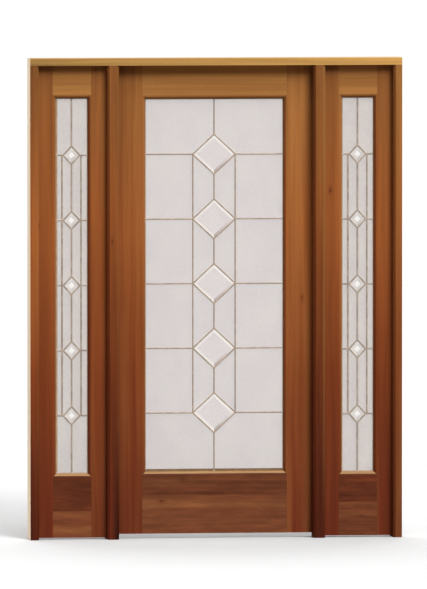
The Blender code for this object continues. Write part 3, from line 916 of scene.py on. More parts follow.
@dataclass
class Board:
    """A piece of timber: a swept section with its own run of grain and its own tone."""

    name: str
    sections: Array
    grain: Grain
    seed: int
    tone: Tone = Tone()
    glue_line: float = -math.inf
    lower_tone: Tone = Tone()
    arris: float = 0.0008
    # Painted shade (below zero) or painted highlight (above zero) on faces that look down or left, and on
    # those that look up or right.
    edges: tuple[float, float] = (0.0, 0.0)
    pockets: tuple = ()

    def build(self) -> bpy.types.Object:
        """Makes the board, cuts its pockets, writes its attributes and softens its arrises."""
        obj = mesh_object(self.name, sweep(self.sections))
        if self.pockets:
            cut_pockets(obj, self.pockets)
        self.write_attributes(obj.data)
        round_arrises(obj, self.arris)
        return obj

    def write_attributes(self, mesh: bpy.types.Mesh) -> None:
        """Writes the board's grain, tone, bareness and painted edge light and shade on its face corners.

        The grain vector is (across, along, through) plus an offset for the board. A board under a
        glue line has an offset and a tone of its own. The edge value is painted light and shade: how
        pale (a painted highlight), or below zero how dark (painted shade), faces that look down or left,
        and those that look up or right, are made, as the light falls on them; the painted highlight on
        an upright board fades towards the feet. The bare value is 1 on the unit's two
        sides, which the wall hides, and less on its top and its feet, where the stain laps over.

        Args:
            mesh: the board's mesh.
        """
        upright = self.grain is Grain.UPRIGHT
        place, centre, normal = corner_values(mesh)
        low = centre[:, 2] < self.glue_line
        offsets = np.random.default_rng(self.seed).uniform(0.0, 20.0, (2, 3))
        grain = place[:, (0, 2, 1) if upright else (2, 0, 1)] + np.where(low[:, None], offsets[1], offsets[0])
        write_corners(mesh, "grain", "FLOAT_VECTOR", "vector", grain)

        run = -place[:, 2] / UNIT_HEIGHT if upright else place[:, 0] / UNIT_WIDTH + 0.5
        aside = (place[:, 0] - place[:, 0].min()) / np.ptp(place[:, 0]) - 0.5
        tone = np.where(low[:, None], self.lower_tone.spread(run, aside), self.tone.spread(run, aside))
        write_corners(mesh, "tone", "FLOAT_COLOR", "color", tone)

        on_bound = np.abs(centre[:, None, :] - BOUNDS[None]).min(1) < ON_BOUND
        write_corners(mesh, "bare", "FLOAT", "value", np.maximum(on_bound[:, 0], LAPPED * on_bound[:, 2]))

        # Painted light and shade: faces turned from the light are darkened and faces turned to it paled, by
        # their facing.
        facing = normal[:, 0 if upright else 2]
        high_edge = np.where(facing > EDGE_FACING, self.edges[1], 0.0)
        edge = np.where(facing < -EDGE_FACING, self.edges[0], high_edge)
        if upright:
            edge = np.where(edge > 0, edge * (1 - run ** 3), edge)
        write_corners(mesh, "edge", "FLOAT", "value", edge)


@dataclass
class TimberFrame:
    """Head, jambs and mullions: sizes read from the solids, sections worked out from them."""

    finishes: Finishes
    hinge_pockets: tuple
    head: Array = field(init=False)
    jamb: Array = field(init=False)
    mullion: Array = field(init=False)

    def __post_init__(self) -> None:
        """Reads the solids' sizes."""
        self.head, self.jamb, self.mullion = map(extent, ("head_jamb", "right_jamb", "right_mullion"))

    @property
    def feet(self) -> float:
        """The level of the feet."""
        return float(self.jamb[0, 2])

    def depths(self, cut: Cut) -> tuple[float, float]:
        """Where a cut starts and ends in depth.

        Args:
            cut: the groove of a sidelight, or the rebate of the door.
        Returns:
            Its front and its back.
        """
        front, back = self.head[:, 1]
        if cut is Cut.GROOVE:
            return front + FRAME.recess - TOUCH, front + FRAME.recess + SASH.thickness + TOUCH
        return back - SASH.thickness - FRAME.stop_gap, back

    def side(self, x: float, cut: Cut, inward: int) -> list[tuple[float, float]]:
        """Plan of one side of an upright, from its front to its back.

        Args:
            x: where the side is.
            cut: what is cut into it.
            inward: +1 or -1, the way into the timber.
        Returns:
            Points (x, y).
        """
        front, back = self.head[:, 1]
        if cut is Cut.PLAIN:
            return [(x, front), (x, back)]
        start, end = self.depths(cut)
        deep = x + inward * FRAME.rebate
        chamfered = [(x + inward * FRAME.chamfer, front), (x, front + FRAME.chamfer)]
        points = chamfered + [(x, start), (deep, start), (deep, end)]
        return points + ([(x, end), (x, back)] if cut is Cut.GROOVE else [])

    def upright(self, low: tuple[float, Cut], high: tuple[float, Cut]) -> Array:
        """Sections of a jamb or mullion: its plan, repeated so that the tone can change along it.

        Args:
            low, high: place and cut of its two sides.
        Returns:
            Stations x points x 3, from the feet to the head.
        """
        plan = self.side(*high, -1) + self.side(*low, 1)[::-1]
        return np.array([[(x, y, z) for x, y in plan] for z in np.linspace(*self.jamb[:, 2], FRAME.stations)])

    def head_sections(self) -> Array:
        """Sections of the head along X: a bar with a groove or a rebate over each opening.

        Each cut starts and stops square, past the opening, so two stations share one place there.

        Returns:
            Stations x 8 points x 3.
        """
        (outer_low, front, under), (outer_high, back, top) = self.head
        inner, (doorway, mullion_out) = self.jamb[0, 0], self.mullion[:, 0]

        def section(x: float, cut: Cut, depth: float) -> list:
            """The head's section at one place.

            Args:
                x: the place.
                cut: the groove or the rebate there.
                depth: how deep it is.
            Returns:
                Eight points.
            """
            start, end = self.depths(cut)
            roof = under + depth
            closes = roof if cut is Cut.REBATE else under
            points = [(front, top), (front, under), (start, under), (start, roof), (end, roof)]
            return [(x, y, z) for y, z in points + [(end, closes), (back, closes), (back, top)]]

        stations = [section(outer_low, Cut.GROOVE, 0.0)]
        for low, high, cut in (
            (-inner, -mullion_out, Cut.GROOVE),
            (-doorway, doorway, Cut.REBATE),
            (mullion_out, inner, Cut.GROOVE),
        ):
            start, end = low - FRAME.rebate, high + FRAME.rebate
            for x, depth in ((start, 0.0), (start, FRAME.rebate), (end, FRAME.rebate), (end, 0.0)):
                stations.append(section(x, cut, depth))
        stations.append(section(outer_high, Cut.GROOVE, 0.0))
        return np.array(stations)

    def build(self) -> None:
        """Makes the head and the four uprights."""
        inner, outer = self.jamb[:, 0]
        doorway, mullion_out = self.mullion[:, 0]
        # The head's edges are painted shade on faces that look down and a painted highlight on those that
        # look up.
        head = Board("head_board", self.head_sections(), Grain.LEVEL, 3, Tone(-0.42, 0.66, 0.62, 0.16),
                     edges=(-0.3, 0.3))
        settle(head.build(), Body.FRAME, "frame_wood", self.finishes.wood, "head_jamb")
        # The last pair on each upright is painted shade (below zero) on faces that look left and a painted
        # highlight (above zero) on faces that look right.
        for node, low, high, seed, tone, edges in (
            ("left_jamb", (-outer, Cut.PLAIN), (-inner, Cut.GROOVE), 5,
             Tone(-0.38, -0.10, -0.04, -0.03, 0.58, 0.17), (0.0, 0.10)),
            ("left_mullion", (-mullion_out, Cut.GROOVE), (-doorway, Cut.REBATE), 7,
             Tone(-0.10, -0.02, -0.30, -0.10, side_light=0.9), (-0.45, 0.08)),
            ("right_mullion", (doorway, Cut.REBATE), (mullion_out, Cut.GROOVE), 11,
             Tone(-0.19, 0.03, -0.24, -0.11), (-0.45, 0.22)),
            ("right_jamb", (inner, Cut.GROOVE), (outer, Cut.PLAIN), 13,
             Tone(-0.08, 0.11, 0.03, -0.02), (-0.45, 0.0)),
        ):
            pockets = self.hinge_pockets if node == "left_mullion" else ()
            board = Board(f"{node}_board", self.upright(low, high), Grain.UPRIGHT, seed, tone,
                          edges=edges, pockets=pockets)
            settle(board.build(), Body.FRAME, "frame_wood", self.finishes.wood, node)


@dataclass
class Sight:
    """The opening that the glass shows in, and the sash face that it is set behind."""

    centre: float
    half: float
    low: float
    high: float
    face: float

    @property
    def seat(self) -> float:
        """Where the leaded panel's outer side is."""
        return self.face + SASH.seat + TOUCH


@dataclass
class Sash:
    """Two stiles, two rails and four glazing beads, with the moulding mitred at the corners."""

    name: str
    body: Body
    finishes: Finishes
    seed: int
    tones: dict[str, Tone]
    glue_line: float
    lower_tone: Tone
    hinge_pockets: tuple = ()
    boxes: dict[str, Array] = field(init=False)
    sight: Sight = field(init=False)

    def __post_init__(self) -> None:
        """Reads the four members' boxes, and the glass opening between the moulding's inner edges."""
        self.boxes = {part: extent(f"{self.name}_{part}") for part in self.tones}
        left, right, top, bottom = (self.boxes[part] for part in STICKING_PAINTED_LIGHT_AND_SHADE)
        low_x, high_x = float(left[1, 0]), float(right[0, 0])
        self.sight = Sight((low_x + high_x) / 2, (high_x - low_x) / 2, float(bottom[1, 2]), float(top[0, 2]),
                           float(left[0, 1]))

    def profile(self, width: float) -> Array:
        """Section of a member: a quirk and a quarter of an ellipse, then the sight edge and the rebate.

        Args:
            width: from the outer edge to where the moulding starts.
        Returns:
            Points (distance across, depth behind the face).
        """
        angle = np.linspace(0, math.pi / 2, SASH.steps + 1)
        across = width + SASH.sticking * np.sin(angle)
        depth = SASH.quirk + (SASH.drop - SASH.quirk) * (1 - np.cos(angle))
        sight = width + SASH.sticking
        rebate = sight - SASH.lap - SASH.play
        tail = [(sight, SASH.seat), (rebate, SASH.seat), (rebate, SASH.thickness), (0, SASH.thickness)]
        return np.concatenate([[(0, 0), (width, 0)], np.stack([across, depth], 1), tail])

    def member(self, part: str) -> Array:
        """Sections of a stile or a rail. Its box reaches to the sight edge.

        Past the moulding the section is plain, and the moulding starts at 45 degrees.

        Args:
            part: the member's name.
        Returns:
            Stations x points x 3.
        """
        box, upright = self.boxes[part], part.endswith("stile")
        sign = 1 if part in ("left_stile", "bottom_rail") else -1
        axis = 0 if upright else 2
        edge = box[0 if sign > 0 else 1, axis]
        width = box[1, axis] - box[0, axis] - SASH.sticking
        u, depth = self.profile(width).T
        plain, over = np.minimum(u, width), np.maximum(u - width, 0.0)
        start, end = box[:, 2 - axis]
        mitre = (self.sight.low - SASH.sticking, self.sight.high + SASH.sticking) if upright else (start, end)
        flat = np.zeros_like(u)
        across = edge + sign * np.array([plain, plain, u, u, plain, plain])
        along = np.array([
            flat + start, flat + mitre[0], mitre[0] + over, mitre[1] - over, flat + mitre[1], flat + end
        ])
        y = np.broadcast_to(self.sight.face + depth, across.shape)
        sections = np.stack([across, y, along] if upright else [along, y, across], -1)
        return self.with_glue_line(sections, width) if part == "bottom_rail" else sections

    def with_glue_line(self, sections: Array, width: float) -> Array:
        """Adds a row of points on the front and the back of a bottom rail, at its glue line.

        Args:
            sections: the rail's sections.
            width: the rail's plain width.
        Returns:
            Sections with two more points each.
        """
        foot = self.boxes["bottom_rail"][0, 2]
        level = min(max(self.glue_line, foot + SASH.glue_margin), foot + width - SASH.glue_margin)
        front, back = sections[:, :1].copy(), sections[:, -1:].copy()
        front[..., 2] = level
        back[..., 2] = level
        return np.concatenate([sections[:, :1], front, sections[:, 1:-1], back, sections[:, -1:]], 1)

    def bead(self, place: Place) -> Array:
        """Sections of one mitred glazing bead, between the leaded panel and the room face.

        The profile is measured outwards from the sight edge: straight, then a hollow that widens.

        Args:
            place: the side of the sash.
        Returns:
            Two stations at the mitres.
        """
        sight = self.sight
        start = sight.seat + CAME.depth + TOUCH
        end = sight.face + SASH.thickness
        outer = SASH.lap + SASH.play - TOUCH
        turn = np.linspace(0, math.pi / 2, SASH.steps)
        hollow_out = SASH.bead_splay * (1 - np.cos(turn))
        hollow_y = start + SASH.bead_start + (end - start - SASH.bead_start) * np.sin(turn)
        out = np.concatenate([[outer, 0.0], hollow_out, [outer]])
        y = np.concatenate([[start, start], hollow_y, [end]])
        reach = sight.half + out
        if place.grain is Grain.LEVEL:
            z = sight.high + out if place is Place.TOP else sight.low - out
            return np.stack([np.stack([sight.centre + s * reach, y, z], -1) for s in (-1, 1)])
        x = sight.centre + reach * (1 if place is Place.RIGHT else -1)
        return np.stack([np.stack([x, y, z], -1) for z in (sight.low - out, sight.high + out)])

    def build(self) -> Sight:
        """Makes the members and the beads, and returns the glass opening."""
        for number, (part, edges) in enumerate(STICKING_PAINTED_LIGHT_AND_SHADE.items()):
            board = Board(
                f"{self.name}_{part}_board", self.member(part),
                Grain.UPRIGHT if part.endswith("stile") else Grain.LEVEL,
                self.seed + number, self.tones[part],
                self.glue_line if part == "bottom_rail" else -math.inf, self.lower_tone, edges=edges,
                pockets=self.hinge_pockets if part == "left_stile" else (),
            )
            settle(board.build(), self.body, "sash_wood", self.finishes.wood, f"{self.name}_{part}")
        for number, place in enumerate(Place):
            board = Board(f"{self.name}_{place.value}_bead", self.bead(place), place.grain,
                          self.seed + 40 + number, Tone(0.12, 0.10), arris=0.0005)
            settle(board.build(), self.body, "bead_wood", self.finishes.wood, f"{self.name}_glazing_bead")
        return self.sight


@dataclass
class LeadedPanel:
    """A came lattice with a row of diamonds, its solder joints and the glass between them."""

    name: str
    body: Body
    sight: Sight
    finishes: Finishes
    metal: Material
    glass: Material
    diamond_glass: Material
    pitch: float
    lift: float
    diamond_width: float
    diamond_height: float
    line: float
    bevel: float
    rise: float
    came_width: float
    bedding: dict[Place, float]
    sill_compound: Material
    gleams: dict[tuple[int, int], tuple[float, float]]
    centre_gleam: float
    seed: int
    rows: int = 5
    cell: float = 0.004
    relief: float = 0.00011
    coarse_grain: float = 0.009
    fine_grain: float = 0.0052
    flat_facet: float = 0.02
    turned_facet: float = -0.5

    @property
    def levels(self) -> Array:
        """Heights of the diamonds' middles, from the top."""
        middle = (self.sight.low + self.sight.high) / 2 + self.lift
        return middle + self.pitch * ((self.rows - 1) / 2 - np.arange(self.rows))

    @property
    def corner(self) -> float:
        """Half a diamond's width."""
        return self.diamond_width / 2

    @property
    def top(self) -> float:
        """Half a diamond's height."""
        return self.diamond_height / 2

    @property
    def edge(self) -> float:
        """Half the panel's width."""
        return self.sight.half + SASH.lap

    @property
    def ends(self) -> tuple[float, float]:
        """Bottom and top of the panel."""
        return self.sight.low - SASH.lap, self.sight.high + SASH.lap

    @property
    def middle(self) -> float:
        """Y of the middle of the glass."""
        return self.sight.seat + CAME.depth / 2

    def pane_spans(self) -> dict[str, tuple]:
        """Every pane as its corners' X and the lower and upper bound there, on the cames' middles.

        Returns:
            Name to (x places, lower bounds, upper bounds, distances that its sides stand in).
        """
        low, high = self.ends
        wide, tight = CAME.border_heart, CAME.heart / 2
        first, last = self.levels[0], self.levels[-1]
        spans = {}
        for side, sign in (("left", -1), ("right", 1)):
            x = np.array([0.0, self.corner, self.edge]) * sign
            bound = np.array([first + self.top, first, first])
            spans[f"top_{side}"] = (x, bound, np.full(3, high), (tight, tight, wide, wide))
            bound = np.array([last - self.top, last, last])
            spans[f"bottom_{side}"] = (x, np.full(3, low), bound, (tight, wide, wide, tight))
            for number, (upper, lower) in enumerate(zip(self.levels, self.levels[1:]), 1):
                x = np.array([self.line, self.edge]) * sign
                spans[f"outer_{side}_{number}"] = (
                    x, np.full(2, lower), np.full(2, upper), (tight, tight, wide, tight)
                )
                apart = self.line > self.corner + MERGE
                x = np.array([0.0, self.corner, self.line] if apart else [0.0, self.line]) * sign
                at_point = np.abs(x) < self.corner
                inner_low = np.where(at_point, lower + self.top, lower)
                inner_high = np.where(at_point, upper - self.top, upper)
                spans[f"inner_{side}_{number}"] = (x, inner_low, inner_high, (tight, tight, tight, tight))
        return spans

    def pane(self, span: tuple) -> Shape:
        """A pane as a grid: columns run between the bounds, and the face carries the pressed grain.

        Args:
            span: x places, bounds and insets (at the first side, bottom, last side, top).
        Returns:
            Points and faces.
        """
        x, low, high, (first, bottom, last, top) = span
        reach = np.abs(x)
        ends = (reach[0] + first + TOUCH, reach[-1] - last - TOUCH)
        count = max(int(round((ends[1] - ends[0]) / self.cell)), 4)
        columns = np.unique(np.concatenate([np.linspace(*ends, count + 1), reach[1:-1]]))
        grow = [np.sqrt(1 + (np.diff(bound) / np.diff(reach)) ** 2) for bound in (low, high)]
        segment = np.clip(np.searchsorted(reach, columns, side="right") - 1, 0, len(reach) - 2)
        lower = np.interp(columns, reach, low) + (bottom + TOUCH) * grow[0][segment]
        upper = np.interp(columns, reach, high) - (top + TOUCH) * grow[1][segment]
        rows = max(int(round(float((upper - lower).max()) / self.cell)), 4)
        z = lower + np.linspace(0, 1, rows + 1)[:, None] * (upper - lower)
        px = np.broadcast_to(columns * (np.sign(x[-1]) or 1), z.shape)
        coarse = value_noise(px + 5.0, z * 0.6 + 9.0, self.coarse_grain, self.seed)
        fine = value_noise(px + 3.0, z + 4.0, self.fine_grain, self.seed + 1)
        near = self.middle - CAME.glass / 2 + self.relief * (0.55 * coarse + 0.45 * fine)
        front = np.stack([px + self.sight.centre, near, z], -1)
        index = np.arange(z.size).reshape(z.shape)
        quads = np.stack([index[:-1, :-1], index[:-1, 1:], index[1:, 1:], index[1:, :-1]], -1).reshape(-1, 4)
        loop = np.concatenate([index[0, :-1], index[:-1, -1], index[-1, :0:-1], index[:0:-1, 0]])
        rim = front.reshape(-1, 3)[loop].copy()
        rim[:, 1] = self.middle + CAME.glass / 2
        back = z.size + np.arange(len(loop))
        walls = np.stack([loop, np.roll(loop, -1), np.roll(back, -1), back], -1)
        return np.concatenate([front.reshape(-1, 3), rim]), quads.tolist() + walls.tolist() + [back.tolist()]

    def diamond(self, level: float) -> Shape:
        """A diamond with polished bevels: outlines stepped in and out along Y.

        Args:
            level: its middle's height.
        Returns:
            The points and the faces.
        """
        outline = np.array([(self.corner, 0), (0, self.top), (-self.corner, 0), (0, -self.top)])
        near, far = self.middle - CAME.glass / 2, self.middle + CAME.glass / 2
        start, hidden = self.came_width / 2, CAME.heart / 2 + TOUCH
        end = start + self.bevel
        sections = []
        for inward, y in (
            (hidden, far), (hidden, near), (start, near), (start + CAME.bevel_ease, near - CAME.bevel_step),
            (end - CAME.bevel_ease, near - self.rise + CAME.bevel_step), (end, near - self.rise),
        ):
            flat = inset_outline(outline, inward)
            sections.append(np.stack([flat[:, 0] + self.sight.centre, np.full(4, y), flat[:, 1] + level], 1))
        return sweep(np.array(sections))

    def polish(self, mesh: bpy.types.Mesh, level: float) -> None:
        """Writes painted light and shade on each facet of a diamond, as an attribute on its corners: above
        zero a painted highlight, below zero painted shade.

        A bevel's value runs evenly from its side corner to its top or bottom corner; the flat face takes the
        centre value, and only faces that look outwards get a value.

        Args:
            mesh: the diamond's mesh.
            level: its middle's height.
        """
        place, centre, normal = corner_values(mesh)
        right, up = np.sign(centre[:, 0] - self.sight.centre), np.sign(centre[:, 2] - level)
        ends = np.zeros((len(place), 2))
        for (side, height), gleam in self.gleams.items():
            ends[(right == side) & (up == height)] = gleam
        ends[np.abs(normal[:, 0]) < self.flat_facet] = self.centre_gleam
        ends[normal[:, 1] > self.turned_facet] = 0.0
        share = np.abs(place[:, 2] - level) / self.top
        write_corners(mesh, "gleam", "FLOAT", "value", ends[:, 0] + (ends[:, 1] - ends[:, 0]) * share)

    def bedding_line(self, width: float, place: Place) -> Shape:
        """A thin line of bedding compound on the glass along one side of the opening.

        Its section is (inwards from the sight edge, behind the seat). The ends are mitred, except at
        the bottom, where a slightly prouder line runs under the others.

        Args:
            width: how far it reaches over the glass.
            place: the side of the sash.
        Returns:
            Points and faces.
        """
        sill = place is Place.BOTTOM
        lip = BEDDING.sill_lip if sill else BEDDING.lip
        inward = np.array([-BEDDING.lap, BEDDING.crown, width, width, -BEDDING.lap])
        y = self.sight.seat + np.array([lip, lip, BEDDING.edge, BEDDING.back, BEDDING.back])
        low, high = self.sight.low + inward, self.sight.high - inward
        taper = np.full_like(inward, -BEDDING.lap) if sill else inward
        sides = [self.sight.centre + sign * (self.sight.half - taper) for sign in (-1, 1)]
        if place.grain is Grain.UPRIGHT:
            x = sides[place is Place.RIGHT]
            return sweep(np.array([np.stack([x, y, z], 1) for z in (low, high)]))
        return sweep(np.array([np.stack([x, y, low if sill else high], 1) for x in sides]))

    def came_lines(self) -> list[tuple]:
        """Middles of every came.

        Returns:
            Rows of x0, z0, x1, z1, with x measured from the panel's centre-line.
        """
        (low, high), levels = self.ends, self.levels
        corner, top = self.corner, self.top
        lines = [(0, high, 0, levels[0] + top), (0, levels[-1] - top, 0, low)]
        lines += [(0, upper - top, 0, lower + top) for upper, lower in zip(levels, levels[1:])]
        for sign in (-1, 1):
            for level in levels:
                lines.append((sign * corner, level, sign * self.edge, level))
                lines += [(sign * corner, level, 0, level + rise) for rise in (top, -top)]
            x = sign * self.line
            lines += [(x, upper, x, lower) for upper, lower in zip(levels, levels[1:])]
        return lines

    def came(self, line: tuple) -> Shape:
        """One straight H came with crowned faces.

        Args:
            line: its ends, x0, z0, x1, z1.
        Returns:
            The points and the faces.
        """
        half, turn = self.came_width / 2, np.linspace(-1, 1, 7)
        face = CAME.depth / 2 - CAME.crown * turn ** 2
        channel, heart = CAME.glass / 2 + TOUCH, CAME.heart / 2
        right = np.array([(half, -channel), (heart, -channel), (heart, channel), (half, channel)])
        outside, inside = np.stack([turn * half, -face], 1), np.stack([-turn * half, face], 1)
        across, depth = np.concatenate([outside, right, inside, -right]).T
        start, end = np.array(line[:2], float), np.array(line[2:], float)
        along = (end - start) / np.linalg.norm(end - start)
        y = self.middle + depth
        stations = [
            np.stack([self.sight.centre + x + across * along[1], y, z - across * along[0]], 1)
            for x, z in (start, end)
        ]
        return sweep(np.array(stations))

    def border(self) -> list[Shape]:
        """The U came around the panel.

        Returns:
            Four mitred lengths.
        """
        low, high = self.ends
        face, channel = CAME.depth / 2, CAME.glass / 2 + TOUCH
        wide, heart = CAME.border, CAME.border_heart
        half = np.array([(0, -face), (wide, -face), (wide, -channel), (heart, -channel)])
        inward, depth = np.concatenate([half, half[::-1] * (1, -1)]).T
        y = self.middle + depth
        sides = [self.sight.centre + sign * (self.edge - inward) for sign in (-1, 1)]
        ends = [low + inward, high - inward]
        parts = [sweep(np.array([np.stack([x, y, z], 1) for z in ends])) for x in sides]
        return parts + [sweep(np.array([np.stack([x, y, z], 1) for x in sides])) for z in ends]

    def joints(self) -> Array:
        """Places where cames meet.

        Returns:
            Joints x 2, x and z.
        """
        points = [(0.0, self.sight.high), (0.0, self.sight.low)]
        for level in self.levels:
            points += [(self.corner, level), (-self.corner, level)]
            points += [(0, level + self.top), (0, level - self.top)]
            points += [(sign * self.sight.half, level) for sign in (-1, 1)]
            if self.line > self.corner + self.came_width:
                points += [(sign * self.line, level) for sign in (-1, 1)]
        return np.array(points, float)

    def solder_blob(self, place: Array, number: int, face: int) -> Shape:
        """A flattened drop of solder: rings around the joint, its outline a slow wave.

        Args:
            place: the joint.
            number: sets the outline.
            face: -1 outside, +1 room side.
        Returns:
            Points and faces.
        """
        rng = np.random.default_rng(self.seed * 100 + number)
        angle = np.linspace(0, FULL_TURN, CAME.solder_sides, endpoint=False)
        wave = 1 + 0.10 * np.sin(2 * angle + rng.uniform(0, 6)) + 0.07 * np.sin(3 * angle + rng.uniform(0, 6))
        base = CAME.depth / 2 - CAME.crown * 0.7
        sections = []
        for share, height in ((1.0, -0.0012), (0.98, 0.0), (0.78, 0.00035), (0.45, 0.00055)):
            radius = CAME.solder * share * wave
            x = self.sight.centre + place[0] + radius * np.cos(angle)
            y = np.full(CAME.solder_sides, self.middle + face * (base + height))
            sections.append(np.stack([x, y, place[1] + radius * np.sin(angle)], 1))
        return sweep(np.array(sections))

    def build(self, cames_node: str, pane_node: Callable[[str], str]) -> None:
        """Makes the cames, the bedding lines, the solder, the panes and the diamonds.

        Args:
            cames_node: the CAD node that the cames stand for.
            pane_node: gives the CAD node that a pane stands for.
        """
        on_door = self.body is Body.DOOR
        slots = ("came", "textured_glass", "bevelled_glass") if on_door else ("leaded_panel",) * 3
        lattice = join_parts([self.came(line) for line in self.came_lines()] + self.border())
        obj = mesh_object(f"{self.name}_came_lattice", lattice)
        settle(obj, self.body, slots[0], self.metal, cames_node)
        for place, width in self.bedding.items():
            obj = mesh_object(f"{self.name}_{place.value}_bedding_line", self.bedding_line(width, place))
            # On the door the sill line's compound is darkened as painted shade at the foot of the glass.
            finish = self.sill_compound if place is Place.BOTTOM else self.finishes.compound
            settle(obj, self.body, slots[0], finish, cames_node)
        blobs = join_parts(self.solder_blob(p, n, f) for n, p in enumerate(self.joints()) for f in (-1, 1))
        obj = mesh_object(f"{self.name}_solder_joints", blobs, math.radians(60))
        settle(obj, self.body, slots[0], self.finishes.solder, cames_node)
        for part, span in self.pane_spans().items():
            obj = mesh_object(f"{self.name}_{part}_pane", self.pane(span), math.radians(40))
            settle(obj, self.body, slots[1], self.glass, pane_node(part))
        for number, level in enumerate(self.levels, 1):
            name = f"{self.name}_diamond_{number}_glass"
            obj = mesh_object(name, self.diamond(float(level)), math.radians(3))
            self.polish(obj.data, float(level))
            settle(obj, self.body, slots[2], self.diamond_glass, pane_node(f"diamond_{number}"))


@dataclass
class ButtHinge:
    """A brass butt hinge with its screws: the pin stays in the frame's leaf."""

    place: str
    finishes: Finishes
    knuckles: int = 5
    gap: float = 0.0004
    radius: float = 0.0056
    ease: float = 0.0004
    pin: float = 0.0031
    pin_press: float = 0.0002
    play: float = 0.0006
    leaf: float = 0.0023
    face: float = 0.0016
    corner: float = 0.004
    web: float = 0.001
    cap: float = 0.003
    sides: int = 40
    screw: float = 0.0042
    screw_sides: int = 32
    screw_rows: tuple[float, float] = (0.021, 0.010)
    frame_box: Array = field(init=False)
    door_box: Array = field(init=False)

    def __post_init__(self) -> None:
        """Reads the two leaves' boxes."""
        self.frame_box = extent(f"{self.place}_hinge_frame_leaf")
        self.door_box = extent(f"{self.place}_hinge_door_leaf")

    @property
    def axis(self) -> Array:
        """X and Y of the pin."""
        return self.frame_box[1, :2] - self.radius

    @property
    def ends(self) -> tuple[float, float]:
        """Lower and upper end of the leaves."""
        return float(self.door_box[0, 2]), float(self.door_box[1, 2])

    def start(self, sign: int) -> float:
        """Where the flat of a leaf starts: -1 in the mullion, +1 in the door's edge."""
        return float((self.frame_box if sign < 0 else self.door_box)[0, 1])

    def pocket(self, sign: int) -> Array:
        """The recess that a leaf is let into.

        Args:
            sign: -1 in the mullion, +1 in the door's edge.
        Returns:
            Its lowest and highest corner.
        """
        flush = self.axis[0] + sign * self.face
        across = sorted((flush - sign * self.web, flush + sign * (self.leaf + TOUCH)))
        low, high = self.ends
        end = self.axis[1] - self.radius
        return np.array([(across[0], self.start(sign) - TOUCH, low - TOUCH), (across[1], end, high + TOUCH)])

    def around(self, profile: Array) -> Array:
        """A profile carried round the pin's axis.

        Args:
            profile: points (radius, z).
        Returns:
            Profile points x sides x 3.
        """
        angle = np.linspace(0, FULL_TURN, self.sides, endpoint=False)
        x = self.axis[0] + profile[:, :1] * np.cos(angle)
        y = self.axis[1] + profile[:, :1] * np.sin(angle)
        return np.stack([x, y, np.broadcast_to(profile[:, 1:], x.shape)], -1)

    def knuckle(self, low: float, high: float, bore: float) -> Shape:
        """One knuckle, bored for the pin.

        Args:
            low, high: its levels.
            bore: the bore's radius.
        Returns:
            The points and the faces.
        """
        rim, ease = self.radius, self.ease
        profile = np.array([(bore, low), (rim - ease, low), (rim, low + ease), (rim, high - ease),
                            (rim - ease, high), (bore, high)])
        return sweep(self.around(profile), ring=True)

    def slab(self, sign: int, outline: Array) -> Shape:
        """An outline as thick as a leaf, on one side of the pin.

        Args:
            sign: -1 or +1, the leaf's side.
            outline: points (y, z).
        Returns:
            The points and the faces.
        """
        flush = self.axis[0] + sign * self.face
        faces = (flush, flush + sign * self.leaf)
        return sweep(np.array([np.column_stack([np.full(len(outline), x), outline]) for x in faces]))

    def plate(self, sign: int) -> Shape:
        """The flat of a leaf with rounded inner corners, let into the timber.

        Args:
            sign: the leaf's side.
        Returns:
            The points and the faces.
        """
        (low, high), start = self.ends, self.start(sign)
        end = self.axis[1] - self.radius - TOUCH
        turn = np.linspace(0, math.pi / 2, 6)
        far, near = self.corner * (1 - np.cos(turn)), self.corner * (1 - np.sin(turn))
        upper, lower = np.stack([start + near, high - far], 1), np.stack([start + far, low + near], 1)
        return self.slab(sign, np.concatenate([[(end, low), (end, high)], upper, lower]))

    def tab(self, sign: int, low: float, high: float) -> Shape:
        """The short web between a leaf's flat and one of its knuckles.

        Args:
            sign: the leaf's side.
            low, high: the knuckle's levels.
        Returns:
            The points and the faces.
        """
        start = self.axis[1] - self.radius - self.web
        end = self.axis[1] - self.pin - self.play
        return self.slab(sign, np.array([(start, low), (end, low), (end, high), (start, high)]))

    def pin_shape(self) -> Shape:
        """The pin with a turned button at each end."""
        low, high = self.ends
        tip = np.array([
            (0.0006, 1.0), (0.0024, 0.93), (0.0040, 0.62), (0.0044, 0.28), (0.0040, 0.06), (self.pin, 0.0)
        ])
        lower = np.column_stack([tip[:, 0], low - tip[:, 1] * self.cap])
        upper = np.column_stack([tip[::-1, 0], high + tip[::-1, 1] * self.cap])
        return sweep(self.around(np.concatenate([lower, upper])))

    def screw_head(self, sign: int, y: float, z: float) -> Shape:
        """A domed head whose recess is a four-lobed dip: the inner rings' radius waves with the angle.

        Args:
            sign: the leaf's side.
            y, z: the screw's place.
        Returns:
            Points and faces.
        """
        angle = np.linspace(0, FULL_TURN, self.screw_sides, endpoint=False)
        round_rim, lobes = np.ones_like(angle), 0.55 + 0.45 * np.cos(2 * angle) ** 4
        sections = []
        for share, depth, wave in (
            (1.0, 0.0010, round_rim), (1.0, -0.00010, round_rim), (0.85, -0.00028, round_rim),
            (0.62, -0.00030, round_rim), (0.52, -0.00026, lobes), (0.40, 0.00060, lobes),
        ):
            radius = self.screw * share * wave
            x = np.full_like(angle, self.axis[0] + sign * (self.face + depth))
            sections.append(np.stack([x, y + radius * np.cos(angle), z + radius * np.sin(angle)], 1))
        return sweep(np.array(sections))

    def screws(self, sign: int) -> Shape:
        """Four countersunk screw heads on a leaf, in two staggered rows.

        Args:
            sign: the leaf's side.
        Returns:
            The points and the faces.
        """
        low, high = self.ends
        levels = low + (high - low) * np.linspace(0.12, 0.88, 4)
        start = self.start(1)
        places = [(start + self.screw_rows[n % 2], z) for n, z in enumerate(levels)]
        return join_parts(self.screw_head(sign, y, z) for y, z in places)

